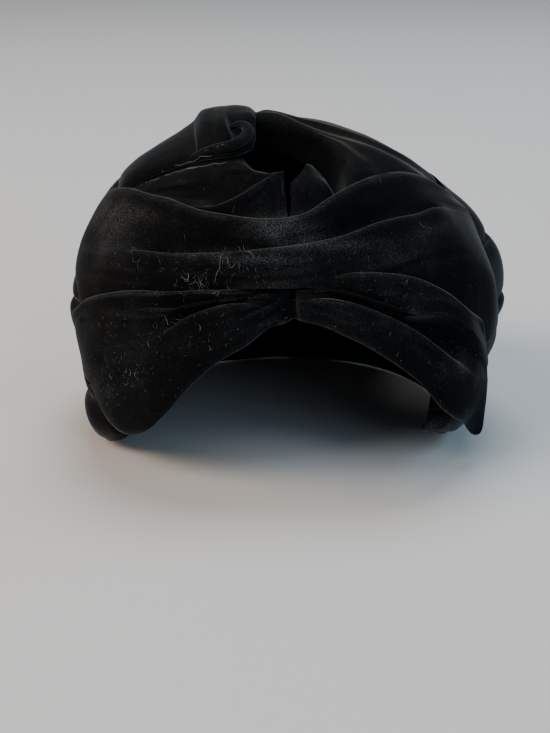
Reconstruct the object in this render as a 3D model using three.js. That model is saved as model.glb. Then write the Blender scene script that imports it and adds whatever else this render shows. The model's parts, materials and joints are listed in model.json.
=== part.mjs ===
// Draped velvet turban hat with an open crown.
// Millimetres, +Z up. The hat rests on z = 0 and its origin is under the middle of its outline.
// -Y is the side with the pinched front drape, +X is that side's right when it is looked at.
//
// Every piece is a cloth wall. Each is laid out on, or close to, one base dome. A place on the
// dome is an azimuth in degrees (0 at the front centre, growing toward +X) and a height, and
// "stand" is how far the cloth stands out from the dome there.
import * as THREE from 'three';

const WALL = 2.4; // doubled velvet with its backing
const OUTLINE_MIDDLE_X = -2.55; // middle of the finished outline in the dome's own coordinates
const OUTLINE_MIDDLE_Y = 8.5;
const VELVET_BLACK = 0x0b0c0e;
const VELVET_ROUGHNESS = 0.95;

// Base dome
const WAIST_HEIGHT = 68; // height of the widest place
const CREST_HEIGHT = 163;
const HALF_WIDTH = 112;
const FRONT_DEPTH = 110;
const BACK_DEPTH = 120;
const DOME_POWER = 1.9; // 2 would be an ellipse
const TUCK_IN = 0.13; // how much narrower the foot is than the widest place
const CREST_SHIFT_X = -12; // the crest leans to the left
const CREST_SHIFT_Y = 4;
const CREST_LEAN_POWER = 1.5; // and leans more the higher up
const PINCH_DEPTH = 5; // flat at the front centre, where the drape is drawn in
const PINCH_ANGLE = 26;

const DEGREE = Math.PI / 180;
const NEARLY_ONE = 0.999; // the dome has no normal at its very top
const NORMAL_REACH = 0.5; // degrees and millimetres to each side when a normal is taken

// ---------------------------------------------------------------- tables and curves

// Smooth value between the stations of a table: rows hold [station, value, value, ...].
function readTable(rows, station, column) {
  const last = rows.length - 1;
  if (station <= rows[0][0]) return rows[0][column];
  if (station >= rows[last][0]) return rows[last][column];
  let i = 0;
  while (station > rows[i + 1][0]) i += 1;
  const a = rows[i];
  const b = rows[i + 1];
  const before = rows[Math.max(i - 1, 0)];
  const after = rows[Math.min(i + 2, last)];
  const span = b[0] - a[0];
  const slopeA = (b[column] - before[column]) / Math.max(b[0] - before[0], span);
  const slopeB = (after[column] - a[column]) / Math.max(after[0] - a[0], span);
  const t = (station - a[0]) / span;
  const tt = t * t;
  const ttt = tt * t;
  return (2 * ttt - 3 * tt + 1) * a[column] + (ttt - 2 * tt + t) * span * slopeA
    + (3 * tt - 2 * ttt) * b[column] + (ttt - tt) * span * slopeB;
}

// ---------------------------------------------------------------- base dome

const PLAN_START_HEIGHT = 140;
const PLAN_PASSES = 6;

function domeScale(height) {
  if (height < WAIST_HEIGHT) {
    const down = (WAIST_HEIGHT - height) / WAIST_HEIGHT;
    return 1 - TUCK_IN * down * down;
  }
  const up = Math.min((height - WAIST_HEIGHT) / (CREST_HEIGHT - WAIST_HEIGHT), NEARLY_ONE);
  return (1 - up ** DOME_POWER) ** (1 / DOME_POWER);
}

function domePoint(azimuth, height) {
  const angle = azimuth * DEGREE;
  const sine = Math.sin(angle);
  const cosine = Math.cos(angle);
  const depth = cosine > 0 ? FRONT_DEPTH : BACK_DEPTH;
  const turned = Math.atan2(sine, cosine) / (PINCH_ANGLE * DEGREE);
  const pinch = PINCH_DEPTH * Math.exp(-turned * turned);
  const radius = domeScale(height) * (1 / Math.hypot(sine / HALF_WIDTH, cosine / depth) - pinch);
  const up = Math.max((height - WAIST_HEIGHT) / (CREST_HEIGHT - WAIST_HEIGHT), 0);
  return new THREE.Vector3(
    CREST_SHIFT_X * up ** CREST_LEAN_POWER + radius * sine,
    CREST_SHIFT_Y * up - radius * cosine,
    height,
  );
}

function domeNormal(azimuth, height) {
  const reach = NORMAL_REACH;
  const around = domePoint(azimuth + reach, height).sub(domePoint(azimuth - reach, height));
  const upward = domePoint(azimuth, height + reach).sub(domePoint(azimuth, height - reach));
  return around.cross(upward).normalize();
}

function standOff(azimuth, height, stand) {
  return domePoint(azimuth, height).addScaledVector(domeNormal(azimuth, height), stand);
}

// A place on the crown by its distance from the crest's axis, for pieces near the top.
function crownHeight(azimuth, radius) {
  const angle = azimuth * DEGREE;
  const depth = Math.cos(angle) > 0 ? FRONT_DEPTH : BACK_DEPTH;
  const whole = 1 / Math.hypot(Math.sin(angle) / HALF_WIDTH, Math.cos(angle) / depth);
  const scale = Math.min(radius / whole, NEARLY_ONE);
  const up = (1 - scale ** DOME_POWER) ** (1 / DOME_POWER);
  return WAIST_HEIGHT + (CREST_HEIGHT - WAIST_HEIGHT) * up;
}

function crownPoint(azimuth, radius, stand) {
  return standOff(azimuth, crownHeight(azimuth, radius), stand);
}

// The same place from its plan position. The axis leans, so the height is found in a few passes.
function planPoint(x, y, stand) {
  let height = PLAN_START_HEIGHT;
  let azimuth = 0;
  for (let pass = 0; pass < PLAN_PASSES; pass += 1) {
    const up = (height - WAIST_HEIGHT) / (CREST_HEIGHT - WAIST_HEIGHT);
    const dx = x - CREST_SHIFT_X * up ** CREST_LEAN_POWER;
    const dy = y - CREST_SHIFT_Y * up;
    azimuth = Math.atan2(dx, -dy) / DEGREE;
    height = crownHeight(azimuth, Math.hypot(dx, dy));
  }
  return standOff(azimuth, height, stand);
}

// ---------------------------------------------------------------- cloth walls

function smoothStep(t) {
  return t * t * (3 - 2 * t);
}

// Closed wall between two grids of points, faces outward.
function wallBetween(outer, inner) {
  const sections = outer.length;
  const across = outer[0].length;
  const positions = [];
  for (const grid of [outer, inner]) {
    for (const section of grid) {
      for (const point of section) positions.push(point.x, point.y, point.z);
    }
  }
  const faces = [];
  const front = (i, j) => i * across + j;
  const behind = (i, j) => (sections + i) * across + j;
  const quad = (a, b, c, d) => faces.push(a, b, c, a, c, d);
  for (let i = 0; i + 1 < sections; i += 1) {
    for (let j = 0; j + 1 < across; j += 1) {
      quad(front(i, j), front(i + 1, j), front(i + 1, j + 1), front(i, j + 1));
      quad(behind(i, j), behind(i, j + 1), behind(i + 1, j + 1), behind(i + 1, j));
    }
    quad(front(i, 0), behind(i, 0), behind(i + 1, 0), front(i + 1, 0));
    quad(front(i, across - 1), front(i + 1, across - 1), behind(i + 1, across - 1), behind(i, across - 1));
  }
  for (let j = 0; j + 1 < across; j += 1) {
    quad(front(0, j), front(0, j + 1), behind(0, j + 1), behind(0, j));
    quad(front(sections - 1, j), behind(sections - 1, j),
      behind(sections - 1, j + 1), front(sections - 1, j + 1));
  }
  const geometry = new THREE.BufferGeometry();
  geometry.setAttribute('position', new THREE.Float32BufferAttribute(positions, 3));
  geometry.setIndex(faces);
  geometry.computeVertexNormals();
  return geometry;
}

// Azimuth of one guide line in a section. "along" runs from -1 at the left end to +1 at the right,
// where each line ends at its own azimuth.
function lineAzimuth(line, along, extent) {
  const rows = line.rows;
  const lineEnd = along < 0 ? rows[0][0] : rows[rows.length - 1][0];
  const bandEnd = along < 0 ? extent.left : extent.right;
  return extent.middle + Math.abs(along) * (bandEnd - extent.middle)
    + along * along * (lineEnd - bandEnd);
}

// A band of cloth: each section passes through all guide lines in turn, from the first to the last.
// Sections crowd toward the middle as extent.crowding grows past 1.
// place(azimuth, level, stand) turns a table row into a point.
function clothBand(lines, extent, place) {
  const outer = [];
  const inner = [];
  for (let i = 0; i <= extent.sections; i += 1) {
    const even = (2 * i) / extent.sections - 1;
    const along = Math.sign(even) * Math.abs(even) ** extent.crowding;
    const guides = lines.map((line) => {
      const azimuth = lineAzimuth(line, along, extent);
      return [azimuth, readTable(line.rows, azimuth, 1), readTable(line.rows, azimuth, 2)];
    });
    const front = [];
    const behind = [];
    guides.forEach((guide, k) => {
      const steps = k + 1 < guides.length ? lines[k].steps : 1;
      const next = guides[Math.min(k + 1, guides.length - 1)];
      for (let j = 0; j < steps; j += 1) {
        const t = j / steps;
        const azimuth = guide[0] + (next[0] - guide[0]) * t;
        const level = guide[1] + (next[1] - guide[1]) * t;
        const stand = guide[2] + (next[2] - guide[2]) * smoothStep(t);
        front.push(place(azimuth, level, stand));
        behind.push(place(azimuth, level, stand - WALL));
      }
    });
    outer.push(front);
    inner.push(behind);
  }
  return wallBetween(outer, inner);
}

// ---------------------------------------------------------------- front drape, upper band

// Guide lines from the lower edge up, rows of [azimuth, height, stand].
const UPPER_EXTENT = { left: -76, middle: 2, right: 80, sections: 34, crowding: 1 };
const UPPER_LINES = [
  {
    name: 'lower_edge',
    steps: 3,
    rows: [
      [-76, 64, -4], [-66, 72, -4.5], [-52, 85, -4.5], [-38, 92.5, -4], [-26, 98.3, -4.2], [-18, 102, -1.8],
      [-10, 102.4, 0.5], [2, 103, 1], [11, 106.2, 0.2], [15, 105.8, -2.5], [18, 103.5, -5],
      [24, 101.5, -3.8], [32, 97.5, -3.5], [40, 90, -4], [48, 80, -4], [55, 68, -4], [62, 61, -4],
      [70, 59.5, -4], [76, 60.5, -4.5],
    ],
  },
  {
    name: 'belly',
    steps: 4,
    rows: [
      [-76, 90, 0], [-60, 97, 1.5], [-35, 106, 2], [2, 110.5, 1.5], [20, 113, 2], [45, 112, 3.5],
      [60, 102, 3], [70, 89, 0],
    ],
  },
  {
    name: 'main_fold',
    steps: 2,
    rows: [
      [-76, 104.5, 0], [-60, 107, 1], [-48, 110.5, 2], [-38, 112, 3.2], [-24, 113.5, 4], [-7, 116.3, 4],
      [6, 118, 4], [18, 120.5, 4.5], [30, 123.8, 5], [45, 124.5, 5], [58, 124.5, 4], [70, 120, 2],
      [82, 112, -1],
    ],
  },
  {
    name: 'main_valley',
    steps: 4,
    rows: [
      [-76, 112, 0], [-60, 114, 0], [-50, 116.5, -2.5], [-42, 117.3, -5.5], [-30, 116.8, -5.5],
      [-12, 118.8, -4.2], [4, 121.3, -3.6], [18, 124, -4], [30, 128, -3.5], [45, 128.8, -2],
      [58, 128.5, -1], [70, 125, 0.5], [81, 118, 0],
    ],
  },
  {
    name: 'top_lip',
    steps: 2,
    rows: [
      [-76, 126.5, 0], [-70, 129, 1.5], [-58, 131.5, 3], [-41, 131.8, 3.5], [-21, 128.6, 3.2],
      [-4, 127.2, 2.5], [8, 128.8, 3], [18, 133.5, 3.8], [30, 137.6, 4.2], [46, 139.8, 4],
      [62, 138.5, 3], [74, 134.5, 1.5], [82, 125, 0],
    ],
  },
  {
    name: 'turned_top',
    steps: 1,
    rows: [
      [-76, 128, -2], [-70, 130.6, -1], [-58, 133.3, 0.5], [-41, 133.6, 1], [-21, 130.4, 0.8],
      [-4, 129, 0], [8, 130.6, 0.4], [18, 135.4, 1], [30, 139.6, 1.4], [46, 141.8, 1.2],
      [62, 140.5, 0.5], [74, 136.3, -1], [82, 126.5, -2.5],
    ],
  },
];

// ---------------------------------------------------------------- front drape, two wings

const WING_EXTENT = { left: -77, middle: 1, right: 66, sections: 36, crowding: 1.2 };
const WING_LINES = [
  {
    name: 'rim',
    steps: 4,
    rows: [
      [-61, 27, 1], [-57, 22, 1.5], [-52, 19, 2], [-46, 21, 2], [-40, 27.5, 2], [-33, 39.5, 2],
      [-24, 58.5, 1.5], [-15, 74, 1.2], [-8, 83, 0], [-3, 88, -1.5], [1, 90.3, -3.5], [4, 88.5, 1],
      [7, 86.5, 2], [17, 78.5, 2.5], [26, 65.5, 2.8], [35, 49.5, 3], [48, 30.5, 2.5], [61, 13, 1],
      [72, 2, 0],
    ],
  },
  {
    name: 'lower_fold',
    steps: 2,
    rows: [
      [-65, 40, 1], [-56, 60, 2], [-44, 75, 2.5], [-36, 81, 3], [-30, 85.8, 3.2], [-23, 91.3, 3],
      [-13, 94.8, 1.8], [-4, 94.3, -1.5], [1, 95, -5], [5, 98, 1], [11, 97.4, 3.5], [20, 92.4, 4.2],
      [29, 83.3, 4.8], [36, 72.8, 5], [41, 65, 4.5], [47, 56, 3.5], [56, 47, 1.5], [66, 40, -0.5],
    ],
  },
  {
    name: 'pocket',
    steps: 2,
    rows: [
      [-68, 50, 1.5], [-58, 68, 2.5], [-44, 82.5, 2], [-35, 87, 0.5], [-29, 90.3, -1.5], [-22, 94, -1.8],
      [-13, 97, -1.2], [-4, 97.5, -2.5], [1, 98.5, -5], [5, 100, -1.5], [11, 100.2, -1],
      [20, 95.8, -3.5], [28, 88, -6], [36, 81, -9], [43, 74, -9], [49, 66, -5], [55, 57, -1],
      [62, 52, 0],
    ],
  },
  {
    name: 'upper_fold',
    steps: 2,
    rows: [
      [-74, 57, 1.5], [-60, 77, 2.5], [-46, 87, 2.8], [-36, 90, 2.5], [-27, 92.3, 2.2], [-20, 95.5, 1.5],
      [-8, 99.2, -1.5], [1, 100.5, -4], [8, 101.6, -1], [15, 99.6, 2.8], [23, 94.2, 4.2], [30, 89, 5],
      [39, 86.3, 6], [47, 79, 5], [52, 71, 3], [57, 63, 0.5],
    ],
  },
  {
    name: 'shallow',
    steps: 3,
    rows: [
      [-77, 62, 2], [-60, 81, 2.5], [-46, 91, 1.5], [-36, 93.4, -0.5], [-27, 95.5, -0.8], [-20, 97.6, -0.5],
      [-8, 101, -3], [2, 102.3, -4.4], [8, 103.2, -3.8], [15, 102.2, 0], [23, 99.5, 2], [30, 96, 3.5],
      [39, 92.5, 6], [47, 85, 5.5], [52, 77, 4], [55, 71, 1.5],
    ],
  },
  {
    name: 'wing_lip',
    steps: 2,
    rows: [
      [-77, 67.5, 1.5], [-66, 77.5, 3.5], [-59, 84.5, 4], [-45, 93, 4], [-32, 97, 3.2], [-24, 99.4, 1.6],
      [-18, 99.9, 0.4], [-10, 101.2, -3.2], [2, 103.5, -4], [8, 103.8, -3.6], [12, 103.4, -2.4],
      [14, 103.6, -1], [17, 104.2, 2], [21, 104.6, 3.2], [28, 103.8, 4.5], [38, 99.5, 5.5], [46, 91.5, 5.5],
      [50, 84.8, 4.5], [54, 77, 2],
    ],
  },
  {
    name: 'turned_lip',
    steps: 1,
    rows: [
      [-77, 69, -0.5], [-66, 79.3, 1.2], [-59, 86.4, 1.6], [-45, 95, 1.6], [-32, 98.6, 1], [-24, 100.3, 0.2],
      [-18, 100.4, -0.8], [-10, 102.4, -4.2], [2, 105.5, -4.6], [8, 105.8, -4.4], [12, 103.9, -3.4],
      [14, 104.2, -2], [17, 105, 0.6], [21, 105.8, 1.6], [28, 105.8, 2.6], [38, 101.5, 3], [46, 93, 2.6],
      [50, 86, 1.6], [54, 78, 0],
    ],
  },
];

// ---------------------------------------------------------------- back wrap

// Heights of the creases between the rolls: [azimuth, foot, five creases, top].
const WRAP_HEIGHTS = [
  [62, 9, 23, 38, 56, 68, 94, 114],
  [74, 2, 21, 37, 58, 69, 97, 121],
  [86, 0, 21, 37, 58, 70, 99, 125],
  [110, 0, 21, 39, 60, 74, 102, 128],
  [140, 0, 22, 41, 62, 80, 104, 130],
  [180, 0, 23, 43, 65, 85, 108, 131],
  [220, 0, 23, 44, 66, 87, 110, 130],
  [260, 0, 21, 43, 66, 86, 108, 127],
  [276, 0, 21, 42, 66, 86, 107, 124],
  [290, 5, 20, 40, 64, 84, 102, 117],
  [302, 13, 22, 38, 58, 78, 96, 110],
];
// How far the same creases stand out from the dome.
const WRAP_STANDS = [
  [62, -24, -22, -18, -15, -14, -13, -13],
  [72, -20, -18, -15, -14.5, -14, -13, -13],
  [82, -16, -14, -9, -11, -9, -9, -9],
  [92, -13, -10, -6, -8, -4, -3, -3],
  [110, -9, -7, -5, -5, -4, -3, -2],
  [140, -4, -4, -4, -4, -3, -3, -2],
  [180, -2, -3, -3, -3, -3, -3, -2],
  [250, -1, -2, -2, -2, -2, -3, -2],
  [268, 0, 0, -1, 0, -2, -4, -4],
  [278, 0, -2, -4, -7, -9, -9, -9],
  [290, -2, -7, -9, -12, -13, -13, -13],
  [302, -8, -10, -10, -12, -12, -13, -13],
];
const WRAP_BULGES = [5, 4, 4.5, 4, 4, 4]; // how far each roll swells between its creases
const WRAP_ROUNDNESS = 0.7; // of a roll's section, where 1 is a sine arch
const WRAP_SECTIONS = 28;
const WRAP_STEPS = 3; // per roll

// Standing out level with the ground, so that the foot stays flat.
function levelPoint(azimuth, height, stand) {
  const point = domePoint(azimuth, height);
  const outward = domeNormal(azimuth, height).setZ(0).normalize();
  return point.addScaledVector(outward, stand);
}

function backWrap() {
  const outer = [];
  const inner = [];
  const first = WRAP_HEIGHTS[0][0];
  const last = WRAP_HEIGHTS[WRAP_HEIGHTS.length - 1][0];
  for (let i = 0; i <= WRAP_SECTIONS; i += 1) {
    const azimuth = first + ((last - first) * i) / WRAP_SECTIONS;
    const front = [];
    const behind = [];
    for (let step = 0; step <= WRAP_BULGES.length * WRAP_STEPS; step += 1) {
      const roll = Math.min(Math.floor(step / WRAP_STEPS), WRAP_BULGES.length - 1);
      const t = step / WRAP_STEPS - roll;
      const between = (table) => {
        const low = readTable(table, azimuth, roll + 1);
        const high = readTable(table, azimuth, roll + 2);
        return low + (high - low) * t;
      };
      const swell = WRAP_BULGES[roll] * Math.sin(Math.PI * t) ** WRAP_ROUNDNESS;
      const height = Math.max(between(WRAP_HEIGHTS), 0);
      const stand = between(WRAP_STANDS) + (t === 1 ? 0 : swell);
      front.push(levelPoint(azimuth, height, stand));
      behind.push(levelPoint(azimuth, height, stand - WALL));
    }
    outer.push(front);
    inner.push(behind);
  }
  return wallBetween(outer, inner);
}

// ---------------------------------------------------------------- crown panels below the seam

// Guide lines from the drape's lip up to the opening, rows of [azimuth, height, stand].
const LEFT_PANEL_EXTENT = { left: -69, middle: -20, right: 6.5, sections: 14, crowding: 1 };
const LEFT_PANEL_LINES = [
  {
    name: 'hidden_edge',
    steps: 2,
    rows: [[-69, 122, -7], [-58, 124, -6.5], [-40, 125, -6.5], [-20, 122, -6.5], [6.5, 122, -7]],
  },
  {
    name: 'at_lip',
    steps: 2,
    rows: [
      [-69, 127.5, -6], [-58, 131, -5.5], [-40, 132.5, -5.5], [-25, 131.5, -5], [-15, 132, -4],
      [6.5, 133, -4.5],
    ],
  },
  {
    name: 'gusset_ridge',
    steps: 2,
    rows: [
      [-69, 129.2, -6], [-58, 133, -6], [-40, 134.5, -5.5], [-25, 134.5, -3], [-18, 136.5, -1.5],
      [-13, 138.5, -0.5], [-9, 141, 0], [-3, 144.6, 0], [2, 146.4, -0.5], [6.5, 145, -2],
    ],
  },
  {
    name: 'hollow',
    steps: 3,
    rows: [
      [-69, 131.5, -6], [-58, 136, -6.5], [-40, 138.5, -7], [-25, 139, -7], [-18, 140.5, -6.5],
      [-13, 142, -5.5], [-9, 143.6, -4], [-3, 146, -2], [2, 147, -1.3], [6.5, 145.6, -2.5],
    ],
  },
  {
    name: 'roll',
    steps: 2,
    rows: [
      [-69, 134.5, -5.2], [-58, 139, -4.5], [-40, 144.5, -4], [-25, 147.8, -2.5], [-16, 148.6, -1.8],
      [-9, 147.8, -2], [-3, 147.4, -1.5], [2, 147.6, -1.5], [6.5, 146.2, -3],
    ],
  },
  {
    name: 'inner_edge',
    steps: 1,
    rows: [
      [-69, 141, -5.5], [-58, 147.5, -4.6], [-40, 154, -4.4], [-25, 157, -4.6], [-18, 153.5, -4.6],
      [-9, 149.5, -4.5], [-3, 148.6, -4], [2, 148.5, -4], [6.5, 147.2, -5],
    ],
  },
];

const RIGHT_PANEL_EXTENT = { left: 8, middle: 15, right: 24, sections: 6, crowding: 1 };
const RIGHT_PANEL_LINES = [
  { name: 'hidden_edge', steps: 2, rows: [[8, 122, -7.5], [16, 124.5, -7.5], [24, 128, -8]] },
  { name: 'at_lip', steps: 3, rows: [[8, 133, -5], [16, 136, -5], [24, 139, -7]] },
  {
    name: 'fold',
    steps: 3,
    rows: [[8, 138, -4], [13, 142, -2], [17, 141, -2], [20, 142, -4], [24, 143, -8]],
  },
  {
    name: 'inner_edge',
    steps: 1,
    rows: [[8, 143.5, -3.5], [12, 145.5, -2.5], [17, 147.5, -4], [24, 149, -9]],
  },
];

// ---------------------------------------------------------------- crown, far side

// Guide lines by distance from the crest's axis, rows of [azimuth, distance, stand].
const FAR_EXTENT = { left: 84, middle: 170, right: 264, sections: 26, crowding: 1 };
const FAR_LINES = [
  {
    name: 'hidden_edge',
    steps: 2,
    rows: [[84, 90, -12], [92, 92, -10], [180, 97, -9], [250, 94, -10], [264, 91, -13.5]],
  },
  {
    name: 'at_wrap',
    steps: 3,
    rows: [[84, 83, -7.6], [92, 84, -6.6], [180, 90, -6.2], [250, 87, -9], [264, 84, -13]],
  },
  {
    name: 'crest',
    steps: 3,
    rows: [
      [84, 75, 0], [92, 68, 1.5], [120, 60, 2.5], [180, 58, 3], [215, 58, 0], [235, 60, -4.4],
      [264, 66, -9],
    ],
  },
  {
    name: 'near_edge',
    steps: 1,
    rows: [
      [84, 67, 3], [91, 57, 3.4], [100, 45, 3.4], [110, 33, 3.6], [122, 24, 3], [150, 12, 1.5], [180, 9, 0],
      [215, 10, -4], [240, 20, -6], [264, 40, -7.5],
    ],
  },
];

// ---------------------------------------------------------------- crown swaths

// Sections from the end under the drape up to the top. Each cell is [x, y, stand] in plan.
const RIGHT_COLUMNS = ['rear', 'ridge', 'slope', 'rim'];
const RIGHT_SWATH = [
  [[82, -7, -15], [69, -26, -9.5], [47, -49, -8.5], [29, -64, -8.5]],
  [[75, 2, -13.5], [64, -14, -2.8], [45, -37, -2.5], [28, -51, -3]],
  [[65, 9, -8], [56, -6, 1], [40, -24, 0.5], [26, -38, 0]],
  [[50, 12, -6], [41, -2, 1.5], [31, -12, 1], [22, -22, 0]],
  [[32, 12, -4.5], [25, 1, 1.5], [19, -5, 1], [14, -10, 0]],
  [[12, 11, -3.5], [9, 5, 1], [5, 1, 0], [2, -3, -1]],
  [[-9, 11, -3.5], [-10, 6, 0.5], [-11, 2, -1], [-12, -1, -2]],
];
// The foot of the inner face in the same sections: [x, y, drop below the rim].
const RIGHT_INNER_FACE = [
  [26, -61, 2], [22, -49, 9], [21, -36, 14], [17, -20, 17], [10, -7, 18], [0, 1, 18], [-12, 3, 16],
];

const LEFT_COLUMNS = ['rear', 'crest', 'brow', 'belly', 'roll', 'seam'];
const LEFT_SWATH = [
  [[-85, 10, -11], [-86, 1, -11], [-86, -6, -11], [-86, -12, -10.5], [-85, -18, -9.5], [-84, -22, -9]],
  [[-79, 14, -2], [-80, 2, 0.5], [-79, -5, 0.5], [-78, -11, 0], [-77, -17, -1], [-76, -21, -2.5]],
  [[-70, 19, 0], [-70, 3, 2], [-68, -9, 2], [-67, -19, 2], [-65, -28, 1], [-64, -33, -1]],
  [[-58, 22, 1], [-57, 5, 2], [-55, -10, 2], [-53, -22, 2], [-52, -32, 1], [-51, -38, -1]],
  [[-44, 25, 1], [-43, 8, 1.8], [-41, -9, 2.4], [-39, -23, 2], [-38, -34, 2], [-38, -41, -0.5]],
  [[-36, 25, 1], [-36, 8, 2], [-34, -8, 3], [-32, -24, 3], [-31, -35, 2.5], [-31, -41, 0]],
  [[-27, 24, 1], [-27, 9, 2], [-26, -5, 0], [-26, -20, -6], [-26, -35, 2], [-26, -41, 0]],
  [[-19, 21, 1], [-19, 8, 1.5], [-19, -5, 3], [-18.5, -20, 3.5], [-20, -33, 3], [-22, -39, 1]],
  [[-17, 19, -0.5], [-17, 6, -1.5], [-16.5, -6, -2.5], [-15.5, -20, -3], [-17.5, -31, -3], [-21, -36, -3]],
];
const STEPS_ALONG = 2; // between two sections
const STEPS_ACROSS = 2; // between two guide points

// Catmull-Rom value between b and c.
function blend(a, b, c, d, t) {
  const tt = t * t;
  return 0.5 * (2 * b + (c - a) * t + (2 * a - 5 * b + 4 * c - d) * tt + (3 * b - a - 3 * c + d) * tt * t);
}

function blendPoints(points, position) {
  const last = points.length - 1;
  const i = Math.min(Math.floor(position), last - 1);
  const t = position - i;
  const pick = (k) => points[Math.min(Math.max(k, 0), last)];
  return new THREE.Vector3().fromArray(['x', 'y', 'z'].map((axis) => blend(
    pick(i - 1)[axis], pick(i)[axis], pick(i + 1)[axis], pick(i + 2)[axis], t,
  )));
}

// Cloth through a net of guide points: a row for each section, a column for each guide line.
function clothNet(net) {
  const outer = [];
  for (let i = 0; i <= (net.length - 1) * STEPS_ALONG; i += 1) {
    const section = net[0].map((_, k) => blendPoints(net.map((row) => row[k]), i / STEPS_ALONG));
    const face = [];
    for (let j = 0; j <= (section.length - 1) * STEPS_ACROSS; j += 1) {
      face.push(blendPoints(section, j / STEPS_ACROSS));
    }
    outer.push(face);
  }
  const clamp = (value, list) => Math.min(Math.max(value, 0), list.length - 1);
  const at = (i, j) => outer[clamp(i, outer)][clamp(j, outer[0])];
  const inner = outer.map((face, i) => face.map((point, j) => {
    const along = at(i + 1, j).clone().sub(at(i - 1, j));
    const across = at(i, j + 1).clone().sub(at(i, j - 1));
    return point.clone().addScaledVector(along.cross(across).normalize(), -WALL);
  }));
  return wallBetween(outer, inner);
}

function rightSwath() {
  return clothNet(RIGHT_SWATH.map((row, i) => {
    const section = RIGHT_COLUMNS.map((_, k) => planPoint(...row[k]));
    const [x, y, drop] = RIGHT_INNER_FACE[i];
    const rim = section[section.length - 1];
    return [...section, new THREE.Vector3(x, y, rim.z - drop)];
  }));
}

function leftSwath() {
  return clothNet(LEFT_SWATH.map((row) => LEFT_COLUMNS.map((_, k) => planPoint(...row[k]))));
}

// ---------------------------------------------------------------- the hat

function velvet() {
  return new THREE.MeshStandardMaterial({
    color: VELVET_BLACK,
    roughness: VELVET_ROUGHNESS,
    metalness: 0,
    side: THREE.FrontSide,
  });
}

function piece(name, geometry) {
  const mesh = new THREE.Mesh(geometry, velvet());
  mesh.name = name;
  return mesh;
}

const hat = new THREE.Group();
hat.position.set(-OUTLINE_MIDDLE_X, -OUTLINE_MIDDLE_Y, 0);
hat.add(piece('upper_drape', clothBand(UPPER_LINES, UPPER_EXTENT, standOff)));
hat.add(piece('wing_drape', clothBand(WING_LINES, WING_EXTENT, standOff)));
hat.add(piece('back_wrap', backWrap()));
hat.add(piece('crown_panel_left', clothBand(LEFT_PANEL_LINES, LEFT_PANEL_EXTENT, standOff)));
hat.add(piece('crown_panel_right', clothBand(RIGHT_PANEL_LINES, RIGHT_PANEL_EXTENT, standOff)));
hat.add(piece('crown_far_layer', clothBand(FAR_LINES, FAR_EXTENT, crownPoint)));
hat.add(piece('crown_swath_right', rightSwath()));
hat.add(piece('crown_swath_left', leftSwath()));

export default hat;
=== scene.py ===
"""Draped velvet turban hat with an open crown: the cloth, threads and lint around its fixed frame.

Tables are in millimetres and degrees, in the hat's own dome coordinates. An azimuth is 0 at the
front centre and grows toward +X. A level is a height, or on the crown a distance from the crest's
axis. A stand is how far the cloth stands out from the base dome there.
"""

import json
import math

import bpy
import numpy as np
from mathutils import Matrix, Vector
from mathutils.bvhtree import BVHTree

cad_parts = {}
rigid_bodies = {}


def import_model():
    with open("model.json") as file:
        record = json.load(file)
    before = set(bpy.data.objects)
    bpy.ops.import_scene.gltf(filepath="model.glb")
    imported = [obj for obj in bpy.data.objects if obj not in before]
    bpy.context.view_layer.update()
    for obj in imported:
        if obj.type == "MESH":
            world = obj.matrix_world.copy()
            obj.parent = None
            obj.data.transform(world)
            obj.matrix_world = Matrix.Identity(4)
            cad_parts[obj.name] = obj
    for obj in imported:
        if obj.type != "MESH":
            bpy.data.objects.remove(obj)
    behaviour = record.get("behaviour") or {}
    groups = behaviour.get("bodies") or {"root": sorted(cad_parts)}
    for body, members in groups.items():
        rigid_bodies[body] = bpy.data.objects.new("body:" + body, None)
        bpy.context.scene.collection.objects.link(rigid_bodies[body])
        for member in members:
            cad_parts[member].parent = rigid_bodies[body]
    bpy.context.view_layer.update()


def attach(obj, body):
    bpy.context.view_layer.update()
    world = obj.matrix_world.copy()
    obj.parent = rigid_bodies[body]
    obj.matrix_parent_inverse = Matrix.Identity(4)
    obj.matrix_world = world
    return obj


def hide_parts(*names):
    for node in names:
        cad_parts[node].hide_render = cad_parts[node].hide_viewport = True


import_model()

bl_info = {
    "name": "Draped Velvet Turban Hat",
    "version": (1, 0, 0),
    "blender": (4, 5, 0),
    "location": "View3D > Sidebar > Hat",
    "description": "Models the velvet pieces, threads and lint of a draped turban hat",
    "category": "Add Mesh",
}

MM = 0.001
BODY = "root"

# ------------------------------------------------------------------ base dome

OUTLINE_SHIFT = np.array((2.55, -8.5, 0.0))  # from the dome's axis to the middle of the outline
WAIST_HEIGHT = 68.0  # of the widest place
CREST_HEIGHT = 163.0
HALF_WIDTH = 112.0
FRONT_DEPTH = 110.0
BACK_DEPTH = 120.0
DOME_POWER = 1.9  # 2 would be an ellipse
TUCK_IN = 0.13  # how much narrower the foot is than the widest place
CREST_SHIFT_X = -12.0
CREST_SHIFT_Y = 4.0
CREST_LEAN_POWER = 1.5
PINCH_DEPTH = 5.0  # flat at the front centre, where the drape is drawn in
PINCH_ANGLE = 26.0
NEARLY_ONE = 0.999  # keeps the crest's slope finite
TINY = 1e-9
NORMAL_REACH = 0.5  # to either side of a place, for the normal there
PLAN_START_HEIGHT = 140.0  # the first guess of a plan position's height
PLAN_PASSES = 6


def hermite(t, span, start, start_slope, end, end_slope):
    """Cubic values at shares t of a span, from the values and the slopes at its ends."""
    tt, ttt = t * t, t * t * t
    return (
        (2 * ttt - 3 * tt + 1) * start
        + (ttt - 2 * tt + t) * span * start_slope
        + (3 * tt - 2 * ttt) * end
        + (ttt - tt) * span * end_slope
    )


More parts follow.
